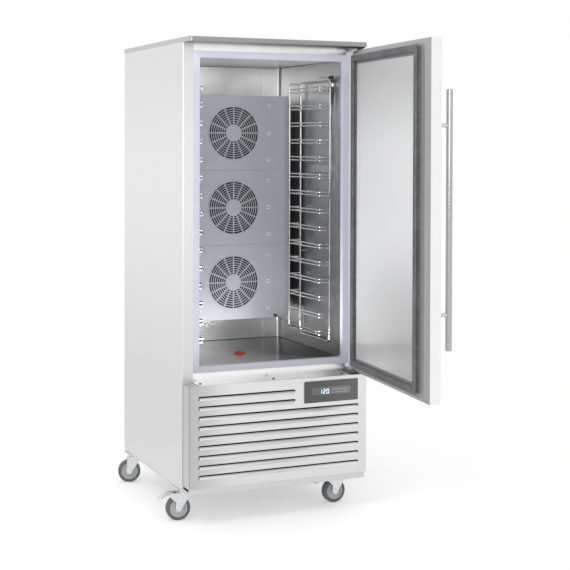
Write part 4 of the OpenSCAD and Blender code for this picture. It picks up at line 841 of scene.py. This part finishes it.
def add_panel_lip():
    low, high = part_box("base_frame")
    left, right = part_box("louvre_panel")[0].x + LIP_INSET * MM, high.x - LIP_INSET * MM
    front = low.y - LIP_GAP * MM
    box = ((left, front - LIP_T * MM, low.z + LIP_RISE * MM), (right, front, (PANEL_LOW + LIP_OVERLAP) * MM))
    add_mesh("panel_lower_lip", *box_mesh(*box), BASE_SHEET, "cabinet", "satin_steel")


add_seams()
add_panel_lip()
print("seams: two beads, one standing seam and the panel's lower lip")

# %% [markdown]
# The display shows plain digits. A digit is seven bars, each a slim hexagon, and a small table says which
# bars each number lights. The row of symbols beside it is kept to neutral shapes: bars, dots and diamonds.

# %% Display
DISPLAY_FACE_Y = -85.0
DIGIT_W, DIGIT_H, DIGIT_BAR, BAR_GAP = 11.0, 20.0, 2.6, 0.4
DIGIT_X0, DIGIT_Z0, DIGIT_STEP = 176.0, 503.5, 15.5
READING = "120"
BARS = {"0": "abcdef", "1": "bc", "2": "abged"}
SYMBOL_X0, SYMBOL_STEP, SYMBOL_ROWS, SYMBOL_COUNT, SYMBOL_R = 236.0, 11.6, (508.0, 519.5), 6, 2.4
PLATE_T, DIM_SHARE = 0.25, 0.75


def glow_material(name, colour, strength):
    material = bpy.data.materials.new(name)
    material.use_nodes = True
    tree = material.node_tree
    shader = tree.nodes["Principled BSDF"]
    speck = add_node(tree, "ShaderNodeTexNoise", {"Vector": object_place(tree), "Scale": 900.0})
    speckled = add_mix(tree, speck.outputs["Fac"], tuple(DIM_SHARE * part for part in colour), colour)
    for socket in ("Emission Color", "Base Color"):
        tree.links.new(speckled, shader.inputs[socket])
    shader.inputs["Emission Strength"].default_value = strength
    shader.inputs["Roughness"].default_value = 0.4
    return material


def bar_outline(a, b):
    """A slim hexagon between two points of the XZ drawing, in millimetres."""
    (ax, az), (bx, bz) = a, b
    length = math.hypot(bx - ax, bz - az)
    ux, uz = (bx - ax) / length, (bz - az) / length
    h = DIGIT_BAR / 2
    ax, az, bx, bz = ax + ux * BAR_GAP, az + uz * BAR_GAP, bx - ux * BAR_GAP, bz - uz * BAR_GAP
    tall, wide = (ux + uz) * h, (ux - uz) * h
    return [(ax, az), (ax + wide, az + tall), (bx - tall, bz + wide),
            (bx, bz), (bx - wide, bz - tall), (ax + tall, az - wide)]


def digit_outlines(number, x, z):
    w, h = DIGIT_W - DIGIT_BAR, DIGIT_H - DIGIT_BAR
    x, z = x + DIGIT_BAR / 2, z + DIGIT_BAR / 2
    low, middle, top = z, z + h / 2, z + h
    right = x + w
    ends = {"a": ((x, top), (right, top)), "b": ((right, middle), (right, top)),
            "c": ((right, low), (right, middle)), "d": ((x, low), (right, low)),
            "e": ((x, low), (x, middle)), "f": ((x, middle), (x, top)), "g": ((x, middle), (right, middle))}
    return [bar_outline(*ends[bar]) for bar in BARS[number]]


def add_flat_outlines(name, outlines, material):
    """Thin plates just in front of the display window, one for each outline."""
    points, faces = [], []
    front, back = DISPLAY_FACE_Y - PLATE_T, DISPLAY_FACE_Y
    for outline in outlines:
        n, first = len(outline), len(points)
        points += [place(x, front, z) for x, z in outline] + [place(x, back, z) for x, z in outline]
        area = sum(a[0] * b[1] - b[0] * a[1] for a, b in zip(outline, outline[1:] + outline[:1]))
        order = list(range(n)) if area > 0 else list(range(n))[::-1]
        faces.append([first + i for i in order])
        faces.append([first + n + i for i in order[::-1]])
        for i, j in zip(order, order[1:] + order[:1]):
            faces.append([first + i, first + n + i, first + n + j, first + j])
    return add_mesh(name, points, faces, material, "cabinet", "fascia")


def symbol_outline(index, x, z):
    """A diamond, a bar or a round dot, in turn."""
    sides = (4, 4, 12)[index % 3]
    wide, high = ((1.0, 1.0), (1.2, 0.45), (0.8, 0.8))[index % 3]
    turn = math.pi / 4 if index % 3 == 1 else 0.0
    return [(x + SYMBOL_R * wide * math.cos(turn + 2 * math.pi * k / sides),
             z + SYMBOL_R * high * math.sin(turn + 2 * math.pi * k / sides)) for k in range(sides)]


digits = [outline for i, number in enumerate(READING)
          for outline in digit_outlines(number, DIGIT_X0 + i * DIGIT_STEP, DIGIT_Z0)]
symbols = [symbol_outline(i + row, SYMBOL_X0 + i * SYMBOL_STEP, z)
           for row, z in enumerate(SYMBOL_ROWS) for i in range(SYMBOL_COUNT)]
add_flat_outlines("display_digits", digits, glow_material("lit_digits", (0.62, 0.85, 1.0), 1.3))
add_flat_outlines("display_symbols", symbols, glow_material("faint_symbols", (0.55, 0.58, 0.6), 0.5))
print("display:", len(digits), "bars and", len(symbols), "symbols")

# %% [markdown]
# Screws repeat, so Geometry Nodes place them. A tree takes a few seed points, puts one small shape on each,
# and turns the copies into real mesh. Each fan cover is held by six screws with pale cup washers: the
# washer is a ring, made by running a small circle round a larger one, and two crossed near-black bars are
# painted shade in the screw's slot. The same helper bakes any such tree into a plain mesh before it rides on a
# body.


# %% Geometry Nodes helpers
def new_geometry_tree(name, sizes):
    """A tree that takes seed points, named sizes and a finish, and gives geometry."""
    tree = bpy.data.node_groups.new(name, "GeometryNodeTree")
    tree.interface.new_socket("Seeds", in_out="INPUT", socket_type="NodeSocketGeometry")
    for size in sizes:
        tree.interface.new_socket(size, in_out="INPUT", socket_type="NodeSocketFloat")
    tree.interface.new_socket("Finish", in_out="INPUT", socket_type="NodeSocketMaterial")
    tree.interface.new_socket("Geometry", in_out="OUTPUT", socket_type="NodeSocketGeometry")
    return tree, tree.nodes.new("NodeGroupInput").outputs, tree.nodes.new("NodeGroupOutput").inputs


def put_on_seeds(tree, given, result, shape, turn=(0.0, 0.0, 0.0)):
    """Ends a tree: one copy of a shape on each seed, made real and given its finish."""
    copies = add_node(tree, "GeometryNodeInstanceOnPoints", {"Points": given["Seeds"], "Instance": shape,
                                                             "Rotation": turn})
    real = add_node(tree, "GeometryNodeRealizeInstances", {"Geometry": copies.outputs["Instances"]})
    coated = add_node(tree, "GeometryNodeSetMaterial", {"Geometry": real.outputs["Geometry"],
                                                        "Material": given["Finish"]})
    tree.links.new(coated.outputs["Geometry"], result["Geometry"])


def bake(name, tree, seeds, values, body):
    """Runs a tree on seed points, keeps its result as a plain mesh and lets it ride on a body."""
    mesh = bpy.data.meshes.new(name)
    mesh.from_pydata([tuple(seed) for seed in seeds], [], [])
    piece = bpy.data.objects.new(name, mesh)
    scene.collection.objects.link(piece)
    modifier = piece.modifiers.new("grow", "NODES")
    modifier.node_group = tree
    for socket in tree.interface.items_tree:
        if socket.in_out == "INPUT" and socket.name in values:
            modifier[socket.identifier] = values[socket.name]
    grown = bpy.data.meshes.new_from_object(piece.evaluated_get(bpy.context.evaluated_depsgraph_get()))
    piece.modifiers.remove(modifier)
    piece.data = grown
    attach(piece, body)
    return piece


# %% Cup washers and screw slots
CAP_SCREW_X, CAP_SCREW_Z, FAN_PANEL_Z, FAN_PANEL_H = 166.0, 119.0, 757.0, 331.0
SCREW_FACE_Y = 434.0
SLOT_LENGTH, SLOT_WIDTH, SLOT_LIFT = 0.0075, 0.002, 0.0004
WASHER_R, WASHER_WIRE = 0.0072, 0.0019


def washer_tree():
    tree, given, result = new_geometry_tree("Cup Washer", ("Radius", "Wire"))
    path = add_node(tree, "GeometryNodeCurvePrimitiveCircle", {"Resolution": 28, "Radius": given["Radius"]})
    wire = add_node(tree, "GeometryNodeCurvePrimitiveCircle", {"Resolution": 8, "Radius": given["Wire"]})
    ring = add_node(tree, "GeometryNodeCurveToMesh", {"Curve": path.outputs["Curve"],
                                                      "Profile Curve": wire.outputs["Curve"]})
    put_on_seeds(tree, given, result, ring.outputs["Mesh"], (math.pi / 2, 0.0, 0.0))
    return tree


def cross_tree():
    tree, given, result = new_geometry_tree("Screw Cross", ("Length", "Width", "Lift"))
    cross = add_node(tree, "GeometryNodeJoinGeometry")
    for x, z in (("Length", "Width"), ("Width", "Length")):
        size = add_node(tree, "ShaderNodeCombineXYZ", {"X": given[x], "Y": given["Lift"], "Z": given[z]})
        bar = add_node(tree, "GeometryNodeMeshCube", {"Size": size.outputs[0]})
        tree.links.new(bar.outputs["Mesh"], cross.inputs[0])
    put_on_seeds(tree, given, result, cross.outputs[0])
    return tree


# Painted shade: the screw's recessed slot is drawn as near-black bars.
def dark_slot():
    finish = Finish("dark_slot", 0.2, 0.6, 0.0002)
    finish.colour(finish.marks(60.0, 0.8), 0.012, 0.05)
    return finish.material


def washer_steel():
    finish = Finish("washer_steel", 0.6, 0.3, 0.0002)
    finish.colour(finish.marks(60.0, 0.6), 0.82, 0.66)
    return finish.material


CROSS, WASHER, DARK_SLOT, WASHER_STEEL = cross_tree(), washer_tree(), dark_slot(), washer_steel()
cap_seeds = [place(x, SCREW_FACE_Y, FAN_PANEL_Z + (k + 0.5) * FAN_PANEL_H + z)
             for k in range(3) for x in (-CAP_SCREW_X, CAP_SCREW_X) for z in (-CAP_SCREW_Z, 0, CAP_SCREW_Z)]
cap_slots = bake("cap_screw_slots", CROSS, cap_seeds,
                 {"Length": SLOT_LENGTH, "Width": SLOT_WIDTH, "Lift": SLOT_LIFT, "Finish": DARK_SLOT},
                 "cabinet")
washers = bake("cap_screw_washers", WASHER, cap_seeds,
               {"Radius": WASHER_R, "Wire": WASHER_WIRE, "Finish": WASHER_STEEL}, "cabinet")
print("cap screws:", len(cap_seeds), "faces:", [len(piece.data.polygons) for piece in (cap_slots, washers)])

# %% [markdown]
# The floor is a large pale disc. Near the cabinet it is an ordinary matt floor that takes the shadow.
# Further out it fades into plain white for the camera, so that no horizon shows. The world is white where
# the camera, the metal or the glass looks at it, and a little duller where it only lights the object.

# %% Floor and world
FLOOR_RADIUS, FLOOR_SIDES = 14, 96
CABINET_MIDDLE_Y = 396.0
FADE_FROM, FADE_TO = 0.6, 1.7
FLOOR_ALBEDO = 0.8
FLOOR_LIFT = 0.3
WORLD_LIGHT = 0.84
WHITE = (1, 1, 1, 1)


def shows_background(tree):
    """One where a ray comes straight from the camera, a mirror or glass."""
    path = add_node(tree, "ShaderNodeLightPath").outputs
    seen = add_math(tree, "MAXIMUM", path["Is Camera Ray"], path["Is Glossy Ray"])
    return add_math(tree, "MAXIMUM", seen, path["Is Transmission Ray"])


def floor_material():
    material = bpy.data.materials.new("studio_floor")
    material.use_nodes = True
    tree = material.node_tree
    tree.nodes.clear()
    sockets = {0: object_place(tree), 1: place(0, CABINET_MIDDLE_Y, 0)}
    away = add_node(tree, "ShaderNodeVectorMath", sockets, operation="DISTANCE").outputs["Value"]
    far = add_math(tree, "MULTIPLY", add_span(tree, away, FADE_FROM, FADE_TO), shows_background(tree))
    matt = add_node(tree, "ShaderNodeBsdfDiffuse", {"Color": rgba(FLOOR_ALBEDO)}).outputs[0]
    lift = add_math(tree, "MULTIPLY", shows_background(tree), FLOOR_LIFT)
    glow = add_node(tree, "ShaderNodeEmission", {"Color": WHITE, "Strength": lift}).outputs[0]
    near = add_node(tree, "ShaderNodeAddShader", {0: matt, 1: glow}).outputs[0]
    white = add_node(tree, "ShaderNodeEmission", {"Color": WHITE, "Strength": 1.0}).outputs[0]
    mixed = add_node(tree, "ShaderNodeMixShader", {0: far, 1: near, 2: white}).outputs[0]
    add_node(tree, "ShaderNodeOutputMaterial", {"Surface": mixed})
    return material


def add_floor():
    mesh = bpy.data.meshes.new("studio_floor")
    corners = [(FLOOR_RADIUS * math.cos(a), FLOOR_RADIUS * math.sin(a), 0)
               for a in (2 * math.pi * k / FLOOR_SIDES for k in range(FLOOR_SIDES))]
    mesh.from_pydata(corners, [], [list(range(FLOOR_SIDES))])
    mesh.materials.append(floor_material())
    floor = bpy.data.objects.new("studio_floor", mesh)
    scene.collection.objects.link(floor)


def add_world():
    world = bpy.data.worlds.new("studio_world")
    scene.world = world
    world.use_nodes = True
    tree = world.node_tree
    tree.nodes.clear()
    light = add_node(tree, "ShaderNodeBackground", {"Color": WHITE, "Strength": WORLD_LIGHT}).outputs[0]
    white = add_node(tree, "ShaderNodeBackground", {"Color": WHITE, "Strength": 1.0}).outputs[0]
    mixed = add_node(tree, "ShaderNodeMixShader", {0: shows_background(tree), 1: light, 2: white}).outputs[0]
    add_node(tree, "ShaderNodeOutputWorld", {"Surface": mixed})


add_floor()
add_world()
scene.view_settings.view_transform = "Standard"
print("floor and world are set, view transform", scene.view_settings.view_transform)

# %% [markdown]
# Two large soft lamps do the rest. The main one stands high at the left, so the left side is the brightest
# and the shadow falls softly under the cabinet and to its right. A weaker one fills the cavity from the
# front. Two slim strips behind the frame's head and sill lift the back wall and the ceiling, as a
# photographer would. No lamp shows itself to the camera.


# %% Lamps
def add_lamp(name, where, aim, size, power, tall=None):
    data = bpy.data.lights.new(name, "AREA")
    data.shape = "DISK" if tall is None else "RECTANGLE"
    data.size = size
    data.size_y = size if tall is None else tall
    data.energy = power
    lamp = bpy.data.objects.new(name, data)
    lamp.visible_camera = False
    at, target = place(*where), place(*aim)
    lamp.matrix_world = Matrix.Translation(at) @ (target - at).to_track_quat("-Z", "Y").to_matrix().to_4x4()
    scene.collection.objects.link(lamp)


add_lamp("main_lamp", (-3600, -2300, 4300), (0, 200, 1000), 2.4, 60)
add_lamp("fill_lamp", (-2600, -5200, 2400), (0, 300, 1200), 2.4, 70)
add_lamp("head_lamp", (0, 70, 1872), (0, 560, 900), 0.5, 0.3, 0.04)
add_lamp("sill_lamp", (-40, 60, 668), (-40, 250, 1891), 0.5, 2.7, 0.04)
print("lamps:", [light.name for light in bpy.data.lights])
